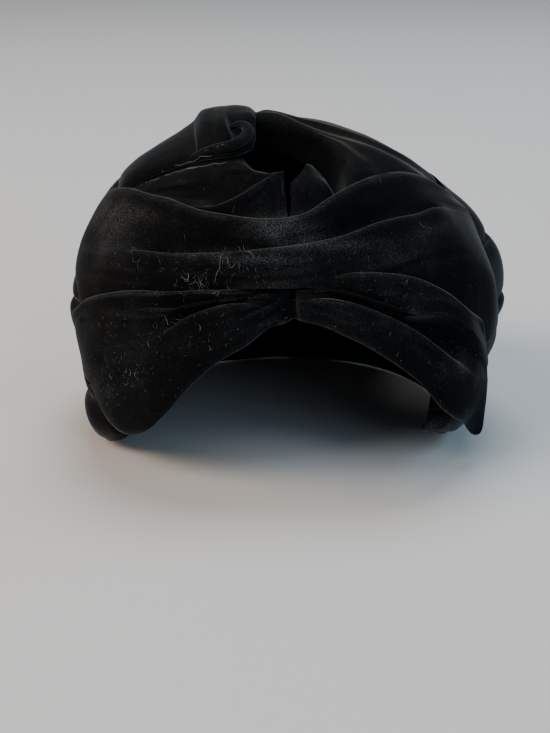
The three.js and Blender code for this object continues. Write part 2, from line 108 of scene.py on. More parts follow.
def read_table(rows, station, column):
    """Smooth values at these stations of a table whose rows are (station, value, value, ...)."""
    stations = np.array([row[0] for row in rows], float)
    values = np.array([row[column] for row in rows], float)
    station = np.clip(np.asarray(station, float), stations[0], stations[-1])
    last = len(rows) - 1
    before = np.maximum(np.arange(last + 1) - 1, 0)
    after = np.minimum(np.arange(last + 1) + 1, last)
    slopes = (values[after] - values[before]) / (stations[after] - stations[before])
    i = np.clip(np.searchsorted(stations, station, side="right") - 1, 0, last - 1)
    span = stations[i + 1] - stations[i]
    t = (station - stations[i]) / span
    return hermite(t, span, values[i], slopes[i], values[i + 1], slopes[i + 1])


def rise_share(height):
    """Share of the rise from the waist to the crest, below 0 under the waist."""
    return (height - WAIST_HEIGHT) / (CREST_HEIGHT - WAIST_HEIGHT)


def dome_profile(share):
    """The dome's section: its radius by the share of the rise, and as well the other way round."""
    return (1 - share**DOME_POWER) ** (1 / DOME_POWER)


def waist_radius(sine, cosine):
    depth = np.where(cosine > 0, FRONT_DEPTH, BACK_DEPTH)
    return 1 / np.hypot(sine / HALF_WIDTH, cosine / depth)


def about_axis(x, y, share):
    """How far right of the leaning axis and behind it a plan position is, and its azimuth."""
    right = x - CREST_SHIFT_X * share**CREST_LEAN_POWER
    behind = y - CREST_SHIFT_Y * share
    return right, behind, np.degrees(np.arctan2(right, -behind))


def dome_point(azimuth, height):
    """Points on the base dome, as (..., 3)."""
    azimuth, height = np.broadcast_arrays(np.asarray(azimuth, float), np.asarray(height, float))
    sine, cosine = np.sin(np.radians(azimuth)), np.cos(np.radians(azimuth))
    up = np.clip(rise_share(height), 0, NEARLY_ONE)
    down = np.maximum(WAIST_HEIGHT - height, 0) / WAIST_HEIGHT
    scale = dome_profile(up) * (1 - TUCK_IN * down * down)
    turned = np.degrees(np.arctan2(sine, cosine)) / PINCH_ANGLE
    radius = scale * (waist_radius(sine, cosine) - PINCH_DEPTH * np.exp(-turned * turned))
    lean = np.maximum(rise_share(height), 0)
    x = CREST_SHIFT_X * lean**CREST_LEAN_POWER + radius * sine
    y = CREST_SHIFT_Y * lean - radius * cosine
    return np.stack([x, y, height], -1)


def unit(vectors):
    return vectors / np.maximum(np.linalg.norm(vectors, axis=-1, keepdims=True), TINY)


def dome_normal(azimuth, height):
    around = dome_point(azimuth + NORMAL_REACH, height) - dome_point(azimuth - NORMAL_REACH, height)
    upward = dome_point(azimuth, height + NORMAL_REACH) - dome_point(azimuth, height - NORMAL_REACH)
    return unit(np.cross(around, upward))


def stand_off(azimuth, height, stand):
    """Points that stand out from the dome along its normal."""
    return dome_point(azimuth, height) + dome_normal(azimuth, height) * stand[..., None]


def level_off(azimuth, height, stand):
    """Points that stand out level with the ground, so that a foot stays flat."""
    outward = dome_normal(azimuth, height)
    outward[..., 2] = 0
    return dome_point(azimuth, height) + unit(outward) * stand[..., None]


def crown_height(azimuth, radius):
    turn = np.radians(azimuth)
    scale = np.minimum(radius / waist_radius(np.sin(turn), np.cos(turn)), NEARLY_ONE)
    return WAIST_HEIGHT + (CREST_HEIGHT - WAIST_HEIGHT) * dome_profile(scale)


def crown_off(azimuth, radius, stand):
    """Points on the crown by their distance from the crest's axis."""
    return stand_off(azimuth, crown_height(azimuth, radius), stand)


def plan_off(x, y, stand):
    """Points on the crown by their plan position. The axis leans, so a few passes find the height."""
    x, y, stand = (np.asarray(value, float) for value in (x, y, stand))
    height = np.full(x.shape, PLAN_START_HEIGHT)
    for _ in range(PLAN_PASSES):
        right, behind, azimuth = about_axis(x, y, rise_share(height))
        height = crown_height(azimuth, np.hypot(right, behind))
    return stand_off(azimuth, height, stand)


# ------------------------------------------------------------------ cloth surfaces

CLOSEST_GUIDES = 0.05  # guides nearer than this count as this far apart
TYPICAL_GAP = 0.8  # the quantile of the gaps that sets how many steps a span gets
FEWEST_STEPS = 3
NOISE_LENGTHS = (0.7, 1.6)  # shortest and longest wave of the noise, as shares of its size
NOISE_HEIGHT = 0.6
AZIMUTH_WIDTH = 1.9  # millimetres to a degree of azimuth, near enough for a relief
RELIEF_END, RELIEF_FADE = 0.05, 4  # a ridge is this strong at its ends, and whole a quarter in
OUTWARD_RISE = 0.4  # how much height counts toward the outward direction
SHOWN_SLOPE = 2  # how fast a relief comes in as the cloth turns outward
FULL_TUCK = 3.0  # a tuck this deep is wholly folded over
# The hidden turns between a fold's lip and the valley above it, as (share of the way when the fold
# is flat, level, level for each mm of depth, stand, stand for each mm of depth), from the lip.
TUCK_TURNS = (
    (0.15, 1.1, 0.0, -1.5, 0.0),
    (0.3, 0.2, -0.25, -2.9, 0.0),
    (0.5, 0.0, -1.0, -3.2, -0.5),
    (0.75, 0.0, -0.4, -4.4, -0.6),
)


def through(points, steps):
    """Smooth curves through guide points (sections, guides, 3), with steps[k] spans after guide k."""
    gaps = np.linalg.norm(np.diff(points, axis=1), axis=-1)
    knots = np.sqrt(np.maximum(gaps, CLOSEST_GUIDES))[..., None]
    slopes = np.diff(points, axis=1) / knots
    tangents = np.empty_like(points)
    tangents[:, 0] = slopes[:, 0]
    tangents[:, -1] = slopes[:, -1]
    total = knots[:, :-1] + knots[:, 1:]
    tangents[:, 1:-1] = (slopes[:, :-1] * knots[:, 1:] + slopes[:, 1:] * knots[:, :-1]) / total
    parts = []
    for k, count in enumerate(steps):
        t = (np.arange(count) / count)[None, :, None]
        start, end = slice(k, k + 1), slice(k + 1, k + 2)
        ends = (points[:, start], tangents[:, start], points[:, end], tangents[:, end])
        parts.append(hermite(t, knots[:, start], *ends))
    parts.append(points[:, -1:])
    return np.concatenate(parts, axis=1)


def even_steps(points, spacing):
    """How many spans of about this spacing fit between neighbouring guides."""
    gaps = np.linalg.norm(np.diff(points, axis=1), axis=-1)
    typical = np.quantile(gaps, TYPICAL_GAP, axis=0)
    return [max(FEWEST_STEPS, round(float(gap) / spacing)) for gap in typical]


def grid_normals(grid):
    around = np.gradient(grid, axis=0)
    across = np.gradient(grid, axis=1)
    return unit(np.cross(around, across))


def soft_noise(points, size, seed, waves=20):
    """Smooth noise from about -1 to 1 at these points, with features of this size in millimetres."""
    rng = np.random.default_rng(seed)
    directions = unit(rng.normal(size=(waves, 3)))
    lengths = size * rng.uniform(*NOISE_LENGTHS, waves)
    phases = rng.uniform(0, 2 * math.pi, waves)
    angle = points @ (directions * (2 * math.pi / lengths)[:, None]).T + phases
    return np.sin(angle).sum(-1) / math.sqrt(waves / 2) * NOISE_HEIGHT


def smooth_step(t):
    t = np.clip(t, 0, 1)
    return t * t * (3 - 2 * t)


def hemmed(edge, hem):
    """Guide lines of a folded edge: its rows moved (up the cloth, in toward the head) for each turn."""
    lines = []
    for up, inward in hem:
        rows = [(azimuth, level + up, stand - inward) for azimuth, level, stand in edge]
        lines.append({"rows": rows})
    return lines


def line_azimuths(rows, along, extent):
    """Azimuths of a guide line in each section, where every line ends at its own azimuth."""
    line_end = np.where(along < 0, rows[0][0], rows[-1][0])
    band_end = np.where(along < 0, extent["left"], extent["right"])
    middle = extent["middle"]
    return middle + np.abs(along) * (band_end - middle) + along**2 * (line_end - band_end)


def tucked(lip, valley, depth):
    """Hidden guides between a fold's lip and the valley above it, as (azimuth, level, stand)."""
    folded = smooth_step(depth / FULL_TUCK)
    guides = []
    for share, rise, rise_slope, out, out_slope in TUCK_TURNS:
        flat = [lip[i] + (valley[i] - lip[i]) * share for i in range(3)]
        level = lip[1] + rise + rise_slope * depth
        stand = lip[2] + out + out_slope * depth
        level, stand = flat[1] + (level - flat[1]) * folded, flat[2] + (stand - flat[2]) * folded
        guides.append((flat[0], level, stand))
    return guides


def band_grid(lines, extent, place, spacing):
    """A band of cloth through guide lines. A line with a "tuck" table folds over above itself."""
    even = np.linspace(-1, 1, extent["sections"] + 1)
    along = np.sign(even) * np.abs(even) ** extent["crowding"]
    drawn = []
    for rows in (line["rows"] for line in lines):
        azimuth = line_azimuths(rows, along, extent)
        drawn.append((azimuth, read_table(rows, azimuth, 1), read_table(rows, azimuth, 2)))
    guides = []
    for k, line in enumerate(lines):
        guides.append(drawn[k])
        if "tuck" in line:
            depth = read_table(line["tuck"], drawn[k][0], 1)
            guides.extend(tucked(drawn[k], drawn[k + 1], depth))
    points = np.stack([place(*guide) for guide in guides], axis=1)
    return through(points, even_steps(points, spacing))


def net_grid(net, along_steps, spacing):
    """Cloth through a net of guide points (rows, columns, 3)."""
    sections = through(np.swapaxes(net, 0, 1), [along_steps] * (len(net) - 1))
    sections = np.swapaxes(sections, 0, 1)
    return through(sections, even_steps(sections, spacing))


def ruffled(grid, height, size, seed):
    """The grid with a soft unevenness, as cloth has that was draped by hand."""
    return grid + grid_normals(grid) * (soft_noise(grid, size, seed) * height)[..., None]


def near_line(points, line):
    """Distance from each point (..., 2) to a bent line, and the share of the line's length there."""
    lengths = np.linalg.norm(np.diff(line, axis=0), axis=1)
    starts = np.concatenate([[0], lengths.cumsum()])
    nearest = np.full(points.shape[:-1], np.inf)
    share = np.zeros(points.shape[:-1])
    for k, length in enumerate(lengths):
        step = line[k + 1] - line[k]
        t = np.clip((points - line[k]) @ step / (step @ step), 0, 1)
        gap = np.linalg.norm(points - line[k] - t[..., None] * step, axis=-1)
        nearer = gap < nearest
        nearest = np.where(nearer, gap, nearest)
        share = np.where(nearer, (starts[k] + t * length) / starts[-1], share)
    return nearest, share


def relief(points, features):
    """Height at each point of ridges and creases, as (height, width, line). They fade at their ends."""
    total = np.zeros(points.shape[:-1])
    for height, width, line in features:
        gap, share = near_line(points, np.array(line, float) * (AZIMUTH_WIDTH, 1))
        fade = smooth_step(RELIEF_END + RELIEF_FADE * np.minimum(share, 1 - share))
        total += height * fade * np.exp(-((gap / width) ** 2))
    return total


def unrolled(grid):
    """Each point's (azimuth in millimetres, height), the flat map that reliefs are drawn on."""
    share = np.clip(rise_share(grid[..., 2]), 0, 1)
    _, _, azimuth = about_axis(grid[..., 0], grid[..., 1], share)
    return np.stack([azimuth * AZIMUTH_WIDTH, grid[..., 2]], -1)


def creased(grid, features):
    """The grid with ridges and creases drawn in (azimuth, height) on the sides that show."""
    normal = grid_normals(grid)
    outward = unit(grid * (1, 1, OUTWARD_RISE))
    shown = smooth_step((normal * outward).sum(-1) * SHOWN_SLOPE)
    return grid + normal * (relief(unrolled(grid), features) * shown)[..., None]


def rounded_ends(grid, drop, share):
    """The grid with both end edges turned in toward the head."""
    place = np.linspace(0, 1, len(grid))
    near = np.minimum(place, 1 - place) / share
    turn = drop * (1 - np.sqrt(np.clip(1 - (1 - np.clip(near, 0, 1)) ** 2, 0, 1)))
    outward = unit(grid * (1, 1, 0))
    return grid - outward * turn[:, None, None]


# ------------------------------------------------------------------ tables: the drape

# Hems, as (up, inward) for each turn of the cloth.
RIM_HEM = ((9.0, 3.6), (1.8, 3.3), (0.0, 1.6))
LOWER_HEM = (*RIM_HEM, (1.8, 0.0))
TOP_HEM = ((1.9, 1.6), (0.7, 3.3), (-2.6, 5.4))
WING_HEM = ((1.5, 1.6), (0.2, 3.8), (-2.8, 6.2))
END_SHARE = 0.012  # the share of a band at either end that turns in

UPPER_EXTENT = {"left": -76, "middle": 2, "right": 80, "sections": 300, "crowding": 1.0}
LOWER_EDGE = [
    (-76, 64, -4), (-66, 71, -4.5), (-52, 78.5, -5), (-38, 84, -5.2), (-28, 89, -5.6), (-20, 98.6, -4),
    (-15, 102, -1), (-10, 102.2, 0.6), (2, 102.8, 1.2), (6, 103.2, 0.5), (10, 102, -1.4), (15, 100, -3.6),
    (24, 94.5, -5.2), (32, 91, -4.8), (40, 84.5, -4.9), (48, 75.5, -4.6), (55, 66, -4.2), (62, 60, -4),
    (70, 59.5, -4), (76, 60.5, -4.5),
]
TOP_LIP = [
    (-76, 126.5, 2.6), (-70, 129, 3.8), (-58, 131.5, 4), (-41, 131.8, 3.5), (-21, 128.6, 3.2),
    (-4, 127.2, 2.5), (8, 128.8, 3), (18, 133.5, 3.8), (30, 137.6, 4.2), (46, 139.8, 4), (62, 138.5, 3),
    (74, 134.5, 1.5), (82, 125, 0),
]
UPPER_LINES = [
    *hemmed(LOWER_EDGE, LOWER_HEM),
    {"rows": [
        (-76, 90, 1.4), (-60, 97, 2), (-35, 106, 2), (2, 110.5, 1.5), (20, 113, 2), (45, 112, 3.5),
        (60, 102, 3), (70, 89, 0),
    ]},
    {"rows": [
        (-76, 104.5, 2.8), (-60, 107, 2), (-48, 110.5, 2), (-38, 112, 3.2), (-24, 113.5, 4),
        (-7, 116.3, 4), (6, 118, 4), (18, 120.5, 4.5), (30, 123.8, 5), (45, 124.5, 5), (58, 124.5, 4),
        (70, 120, 2), (82, 112, -1),
    ], "tuck": [
        (-76, 0), (-52, 0), (-45, 1.2), (-36, 4.5), (-22, 7), (43, 7), (52, 4), (59, 1), (66, 0), (82, 0),
    ]},
    {"rows": [
        (-76, 112, 3.2), (-60, 113, 1.6), (-50, 115.5, -0.8), (-42, 116.6, -3.6), (-33, 116.6, -5),
        (-12, 118.8, -2.8), (4, 121.3, -2), (18, 124, -2.6), (30, 128, -3), (45, 128.8, -2),
        (58, 128.5, 1.2), (70, 125, 2), (81, 118, 1),
    ]},
    {"rows": [
        (-76, 121, 3.4), (-66, 123, 3.2), (-54, 124.5, 0.2), (-42, 125.2, -1.5), (-30, 123.5, -0.6),
        (-12, 123.4, 0.8), (4, 124.8, 1), (18, 128.7, 1.2), (30, 132.8, 1.4), (46, 135, 1.8),
        (60, 134, 1.6), (72, 130, 1.2), (82, 121.5, 0.4),
    ]},
    {"rows": TOP_LIP},
    *hemmed(TOP_LIP, TOP_HEM),
]

WING_EXTENT = {"left": -77, "middle": 0.6, "right": 61.5, "sections": 330, "crowding": 1.15}
RIM = [
    (-62, 29, 1), (-58, 22.7, 1.5), (-51.5, 20.4, 2), (-46, 22.4, 2), (-39.5, 29, 2), (-32.6, 41.2, 2),
    (-28.4, 51.5, 1.8), (-24.2, 60, 1.5), (-17.3, 71.2, 1.3), (-11.2, 78.8, 0.8), (-6.8, 85, 0.3),
    (-4.3, 86.8, -0.8), (-1.5, 88.2, -2), (1.2, 90.2, -3.6), (3.2, 88.8, 0.4), (7.6, 87, 1.8),
    (12, 83.6, 2.2), (18, 78, 2.5), (26, 67, 2.8), (32, 56.6, 3), (35, 50.6, 3), (40.5, 40.6, 2.6),
    (48, 30.4, 2), (54, 22.4, 1.4), (57, 17.4, 3), (59, 15.4, 4.8), (60.5, 15.4, 5.8), (61.5, 17.4, 5.2),
]
WING_LIP = [
    (-77, 67.5, 0.9), (-66, 77.5, 3.5), (-59, 84.5, 4), (-45, 93, 4), (-32, 97, 3.2), (-24, 99.4, 1.6),
    (-18, 99.9, 0.4), (-10, 101.2, -3.2), (1, 104.2, -4.6), (4, 105, -3.8), (8, 106.6, -2.8),
    (12, 107, -1.4), (16, 107, 0.6), (19, 106.8, 2), (25, 105.9, 3), (32.5, 102.6, 4.4),
    (37.7, 98.2, 4.8), (43.3, 91.8, 4.4), (47.8, 85.4, 3.2), (52, 80.8, 1.2), (55.4, 77.4, -0.4),
    (57, 75.4, -1.4),
]
WING_LINES = [
    *hemmed(RIM, LOWER_HEM),
    {"rows": [
        (-64, 33, 1), (-56, 44, 2), (-44, 52, 2.6), (-36, 59, 3), (-30, 67, 3), (-23, 76, 2.6),
        (-13, 86, 1.4), (-4, 91.5, -1.8), (1, 93.2, -4.6), (3.2, 92.6, 0.6), (11, 90, 2.8), (20, 84.5, 4),
        (29, 73, 4.5), (36, 60, 4.4), (42, 50, 3.6), (50, 38.5, 2.6), (55, 33, 2.6), (59, 30.6, 3.2),
        (61.5, 29.4, 3.4),
    ]},
    {"rows": [
        (-77, 39, -0.2), (-66, 40, 0.9), (-56, 57, 2), (-46, 68, 2.5), (-37, 75, 2.8), (-31.5, 80.5, 3.1),
        (-26, 88.4, 3.2), (-20, 92.8, 2.9), (-13, 95.4, 1.6), (-4, 95.2, -1.5), (1, 96, -5.2),
        (3.1, 97.2, 0.8), (11, 97.2, 3.3), (20, 92.4, 4.2), (29, 83.3, 4.8), (36, 72.8, 5), (41, 65, 3.8),
        (47, 56, 2.6), (54, 49, 1.9), (61.5, 43.5, 1.2),
    ], "tuck": [
        (-65, 0), (-33, 0), (-30, 1.5), (-26, 4), (-20, 3.5), (-13, 1.2), (-7, 0), (3, 0), (7, 1),
        (11, 3), (20, 5), (30, 6), (39, 4.5), (43, 1.8), (47, 0), (65, 0),
    ]},
    {"rows": [
        (-77, 47, -1.3), (-69, 50, 0.5), (-58, 66, 2.5), (-46, 78, 2.4), (-37, 83.4, 1.6), (-31, 87.2, 0),
        (-25.5, 91, -1.4), (-20, 94.6, -1.8), (-13, 97.4, -1.4), (-4, 98, -2.5), (1, 98.8, -5.2),
        (3.2, 99.8, -0.8), (11, 100.2, -1), (20, 95.8, -3.5), (28, 88, -6), (36, 81, -9), (43, 74, -8),
        (47, 69, -4.4), (51, 63.5, -1), (55, 58.5, -0.2), (61.5, 51.5, -0.6),
    ]},
    {"rows": [
        (-77, 54.5, -0.8), (-71, 61, 0.9), (-60, 76, 2.5), (-48, 85, 2.8), (-38, 88.6, 2.6),
        (-30, 91.2, 1.8), (-20, 95.8, 0.8), (-8, 99.2, -1.8), (1, 100.8, -4.8), (3.8, 101.6, -1.6),
        (9, 101.8, -0.8), (15, 99.8, 2.4), (23, 94.2, 4.2), (30, 89, 5), (39, 86.3, 5.6), (47, 77.5, 3.8),
        (52, 70, 1.4), (57, 64, -1), (61, 59.5, -2.2),
    ], "tuck": [
        (-74, 0), (-44, 0), (-38, 0.8), (-29, 1.4), (-20, 0.8), (-12, 0), (10, 0), (14, 2), (20, 4),
        (26, 3), (31, 1), (35, 0), (62, 0),
    ]},
    {"rows": [
        (-77, 62, 0.3), (-60, 81, 2.5), (-46, 90.4, 2), (-36, 93.2, 0.6), (-27, 95.5, 0),
        (-20, 97.6, -0.4), (-8, 101, -3.2), (2, 102.4, -4.8), (8, 103.6, -3), (15, 102.8, -0.6),
        (23, 99.5, 2), (30, 96, 3.5), (39, 92, 5.4), (47, 82.4, 3.8), (52, 75, 1.2), (56, 70.6, -1.4),
        (60, 66.6, -3),
    ]},
    {"rows": WING_LIP},
    *hemmed(WING_LIP, WING_HEM),
]

# Ridges and creases drawn on the cloth: (height, width, line of (azimuth, height)).
UPPER_CREASES = [
    (-0.8, 1.3, [(-19, 105.5), (-8, 106.2), (4, 107), (14, 109.5)]),
    (-0.6, 1.1, [(-9, 110.5), (2, 111.2), (13, 113.8)]),
    (0.7, 2.2, [(-36, 105.5), (-20, 108), (-6, 109)]),
    (-0.9, 2.0, [(-66, 97), (-50, 100.5), (-34, 104)]),
    (-1.0, 3.0, [(-71, 112), (-62, 113.5), (-52, 118)]),
    (0.9, 2.6, [(-72, 104), (-58, 107), (-47, 111)]),
    (-0.7, 1.6, [(24, 104.5), (36, 109), (50, 111), (60, 108)]),
    (0.8, 2.4, [(14, 106.5), (28, 110), (42, 115)]),
    (-0.6, 1.5, [(-6, 121), (5, 122), (17, 125.5)]),
    (-0.5, 1.2, [(-16, 124.2), (-4, 124.2), (8, 126)]),
]
WING_CREASES = [
    (-2.2, 1.0, [(1.2, 104), (1.5, 101), (1.1, 96), (1, 92), (1.5, 89.4)]),
    (0.9, 0.8, [(3.1, 103), (3.3, 98), (2.9, 92), (3.2, 88)]),
    (-1.3, 0.9, [(1, 91.5), (-3, 88.5), (-7, 84.5)]),
    (-1.1, 1.0, [(-1, 101.5), (-7, 100), (-15, 98)]),
    (-1.2, 1.0, [(-0.5, 98.5), (-6, 95.6), (-13, 91.5)]),
    (-0.9, 1.0, [(-0.5, 95), (-4.5, 91.5), (-9, 87.5)]),
    (-0.9, 0.9, [(4.5, 100.5), (10, 99.8), (16, 97.5)]),
    (-0.9, 1.0, [(4.5, 96.5), (10, 94), (17, 88.5)]),
    (-0.7, 0.9, [(5, 93), (9, 90.2), (14, 86)]),
    (0.8, 2.0, [(-50, 84), (-38, 86.5), (-28, 90)]),
    (-0.8, 1.8, [(-66, 72), (-54, 79), (-44, 82)]),
    (-0.9, 2.6, [(-58, 56), (-46, 66), (-34, 73)]),
    (0.8, 3.0, [(-54, 42), (-44, 50), (-34, 60)]),
    (-0.7, 1.4, [(24, 85), (33, 73), (41, 60)]),
    (0.5, 3.6, [(38, 63), (46, 56), (53, 46)]),
    (-0.5, 2.4, [(47, 68), (54, 58), (60, 48)]),
    (0.7, 1.6, [(28, 98), (38, 95), (46, 87)]),
]
PANEL_CREASES = [
    (-1.0, 1.3, [(-3, 146), (-1.6, 141), (-1, 134), (-1.4, 127)]),
    (0.6, 1.0, [(0.6, 146.6), (1.2, 140), (1, 131)]),
    (-0.9, 1.6, [(-62, 131), (-48, 136), (-34, 138)]),
    (0.7, 1.6, [(-52, 141), (-40, 146), (-28, 147)]),
    (-0.7, 1.2, [(-26, 144), (-16, 145), (-8, 145)]),
    (-0.6, 1.0, [(-12, 134), (-8, 137), (-3, 141)]),
    (-0.6, 1.0, [(12, 131), (13, 137), (15, 142)]),
]

# ------------------------------------------------------------------ tables: the wrap

# Heights of the creases between the rolls: (azimuth, foot, five creases, top).
WRAP_HEIGHTS = [
    (44.5, 21.5, 32, 43, 57, 69, 94, 113), (52, 16, 29, 41, 57, 69, 94, 113),
    (60, 11, 26, 39, 57, 69, 94, 112), (69, 5.6, 22.5, 37, 57.5, 69, 95, 114.5),
    (76, 1.6, 21, 37, 58, 69, 96, 117), (86, 0, 21, 37, 58, 70, 99, 122),
    (98, 0, 21, 38, 59, 71.5, 100, 125.4), (112, 0, 21, 39, 60, 74, 102, 127.6),
    (140, 0, 22, 41, 62, 80, 104, 130), (180, 0, 23, 43, 65, 85, 108, 131),
    (220, 0, 23, 44, 66, 87, 110, 130), (260, 0, 21, 43, 66, 86, 108, 127),
    (276, 0, 23, 42, 66, 86, 107, 122), (286, 1.2, 26, 41, 64, 84, 103, 116),
    (294, 5, 28, 41, 62, 82, 101, 114), (300, 10, 30, 42, 60, 79, 97, 111),
    (305, 17, 33, 44, 60, 78, 96, 110), (309, 27, 38, 47, 60, 78, 96, 110),
]
# How far the same creases stand out from the dome.
WRAP_STANDS = [
    (44.5, -13, -13, -13.5, -14, -14, -13, -13), (60, -13, -12, -12, -12.5, -12, -12, -12),
    (72, -13, -11.5, -11, -12, -11, -11, -11), (82, -13, -11.5, -9, -10.5, -7.5, -7, -9),
    (92, -12, -10, -6, -8, -3, -1, -4.5), (110, -9, -7, -5, -5, -3, -2, -3),
    (140, -4, -4, -4, -4, -3, -3, -2), (180, -2, -3, -3, -3, -3, -3, -2),
    (250, -1, -2, -2.5, -2, -3.5, -3.5, -2), (268, 0, -1.8, -3, -0.6, -4.8, -5, -4),
    (278, 1.3, -1.4, -5.4, -8, -10, -10, -9), (290, 2.6, -0.6, -9, -12, -13, -13, -13),
    (300, -2, -5, -9, -12, -12.5, -13, -13), (309, -8, -9, -11, -12, -12, -13, -13),
]
WRAP_BULGES = (5, 4, 4.5, 4, 4, 4)
WRAP_SECTIONS = 310
WRAP_COARSENESS = 1.45  # its mesh spacing beside the other pieces'
# A roll's section: (share of its height, rise, share of its bulge), from its valley to its lip.
ROLL_PROFILE = ((0.0, 0.6, -0.25), (0.16, 0, 0.5), (0.42, 0, 0.95), (0.7, 0, 1.0), (0.9, 0, 0.78))
LOWEST_PROFILE = ((0.0, 1.8, 0.0), *ROLL_PROFILE[1:])
# The hidden turn above a lip: (up from the crease, out from the crease).
ROLL_TURN = ((0.9, 0.9), (-1.8, -1.1), (-5.0, -2.0))
FLAT_TURN_STEP = 0.35  # how far apart its guides are where it is open flat
WRAP_OPENING = 8.0  # degrees over which the folds open out flat at either end
END_HEM, END_BULGE = 0.35, 0.15  # what is left of the hem and of the bulges at the very ends
WRAP_WANDER = 1.3  # how far a crease wanders up and down
WRAP_WANDER_LENGTH = 60.0
WRAP_WANDER_SEED = 40
WRAP_STEADY_FOOT = 25.0  # below this height it wanders less, and at the foot not at all
LEAST_HEIGHT = 0.3  # above the floor

# ------------------------------------------------------------------ tables: the crown

LEFT_PANEL_EXTENT = {"left": -76, "middle": -20, "right": 4.4, "sections": 150, "crowding": 1.0}
LEFT_PANEL_LINES = [
    {"rows": [
        (-76, 117, -7), (-69, 120, -7), (-58, 124, -6.5), (-40, 125, -6.5), (-20, 122, -6.5), (3, 122, -7),
    ]},
    {"rows": [
        (-76, 122.5, -5), (-69, 126.5, -5.5), (-58, 131, -5.5), (-40, 132.5, -5.5), (-25, 131.5, -5),
        (-15, 132, -4), (3.6, 133, -4),
    ]},
    {"rows": [
        (-76, 124.5, -4.5), (-69, 128.5, -5), (-58, 133, -6), (-40, 134.5, -5.5), (-25, 134.5, -3),
        (-18, 136.5, -1.5), (-13, 138.6, -0.5), (-9, 140.8, 0), (-5, 143.2, 0), (-1, 145.2, 0.1),
        (2.4, 146.3, 0), (5.4, 146.9, -0.6),
    ], "tuck": [
        (-69, 0), (-32, 0), (-26, 0.8), (-18, 2), (-9, 2), (-5, 1.2), (0, 0.4), (2.4, 0), (5.4, 0),
    ]},
    {"rows": [
        (-76, 127, -4), (-69, 131.5, -5), (-58, 136, -6.5), (-40, 138.5, -7), (-25, 139, -7),
        (-18, 140.5, -6.5), (-13, 142.2, -5.5), (-9, 143.8, -4.4), (-4, 145.4, -3), (1, 147, -1.8),
        (5.6, 147.7, -1.6),
    ]},
    {"rows": [
        (-76, 129.5, -3.6), (-69, 134.5, -4.6), (-58, 139, -4.5), (-40, 144.5, -4), (-25, 147.8, -2.5),
        (-16, 148.6, -2), (-9, 147.6, -2.6), (-3, 147.2, -2.8), (1, 147.8, -2.6), (5.8, 148.2, -2.8),
    ]},
    {"rows": [
        (-76, 134, -4), (-69, 139.5, -4.5), (-58, 147.5, -4.6), (-40, 154, -4.4), (-25, 157, -4.6),
        (-18, 153.5, -4.6), (-9, 149.5, -4.5), (-3, 148.6, -4.4), (1, 148.6, -4.4), (5.8, 148.6, -4.6),
    ]},
]
RIGHT_PANEL_EXTENT = {"left": 5, "middle": 14, "right": 25, "sections": 60, "crowding": 1.0}
RIGHT_PANEL_LINES = [
    {"rows": [(3.8, 122, -7.5), (16, 124.5, -7.5), (24, 128, -8)]},
    {"rows": [(4.6, 133, -5), (16, 135, -4.6), (24, 138, -5)]},
    {"rows": [(5.8, 138, -3.6), (11, 141.4, -2.4), (17, 143.6, -2), (23, 142.4, -2.6), (25, 142, -5)]},
    {"rows": [(6.8, 142.2, -2.6), (11, 144.2, -2), (16, 146.4, -2.2), (21, 148, -3.8), (26, 148.4, -6)]},
    {"rows": [(8, 144.4, -3), (12, 146.4, -2.6), (16.5, 149, -3), (21, 151.4, -4), (27, 152.4, -7)]},
]

# Guide lines by distance from the crest's axis: (azimuth, distance, stand).
FAR_EXTENT = {"left": 84, "middle": 170, "right": 264, "sections": 240, "crowding": 1.0}
FAR_LINES = [
    {"rows": [(84, 94, -12), (92, 93, -10), (180, 97, -9), (250, 94, -10), (264, 91, -13.5)]},
    {"rows": [
        (84, 90, -9.6), (92, 89.5, -8), (104, 87, -6.6), (180, 90, -6.2), (250, 87, -9), (264, 84, -13),
    ]},
    {"rows": [
        (84, 87, -7), (92, 85.5, -4.6), (98, 82, -2), (105, 70, -1), (120, 60, -0.4), (180, 58, 2),
        (215, 58, 0), (235, 60, -4.4), (264, 66, -9),
    ]},
    {"rows": [
        (84, 83, -6), (92, 80, -4), (97, 75, -2.4), (101, 61, -2), (107, 47, -2), (115, 33, -2),
        (129, 22, -1.8), (150, 15.5, -1), (180, 12, -1.5), (215, 12, -4), (240, 20, -6), (264, 40, -7.5),
    ]},
]

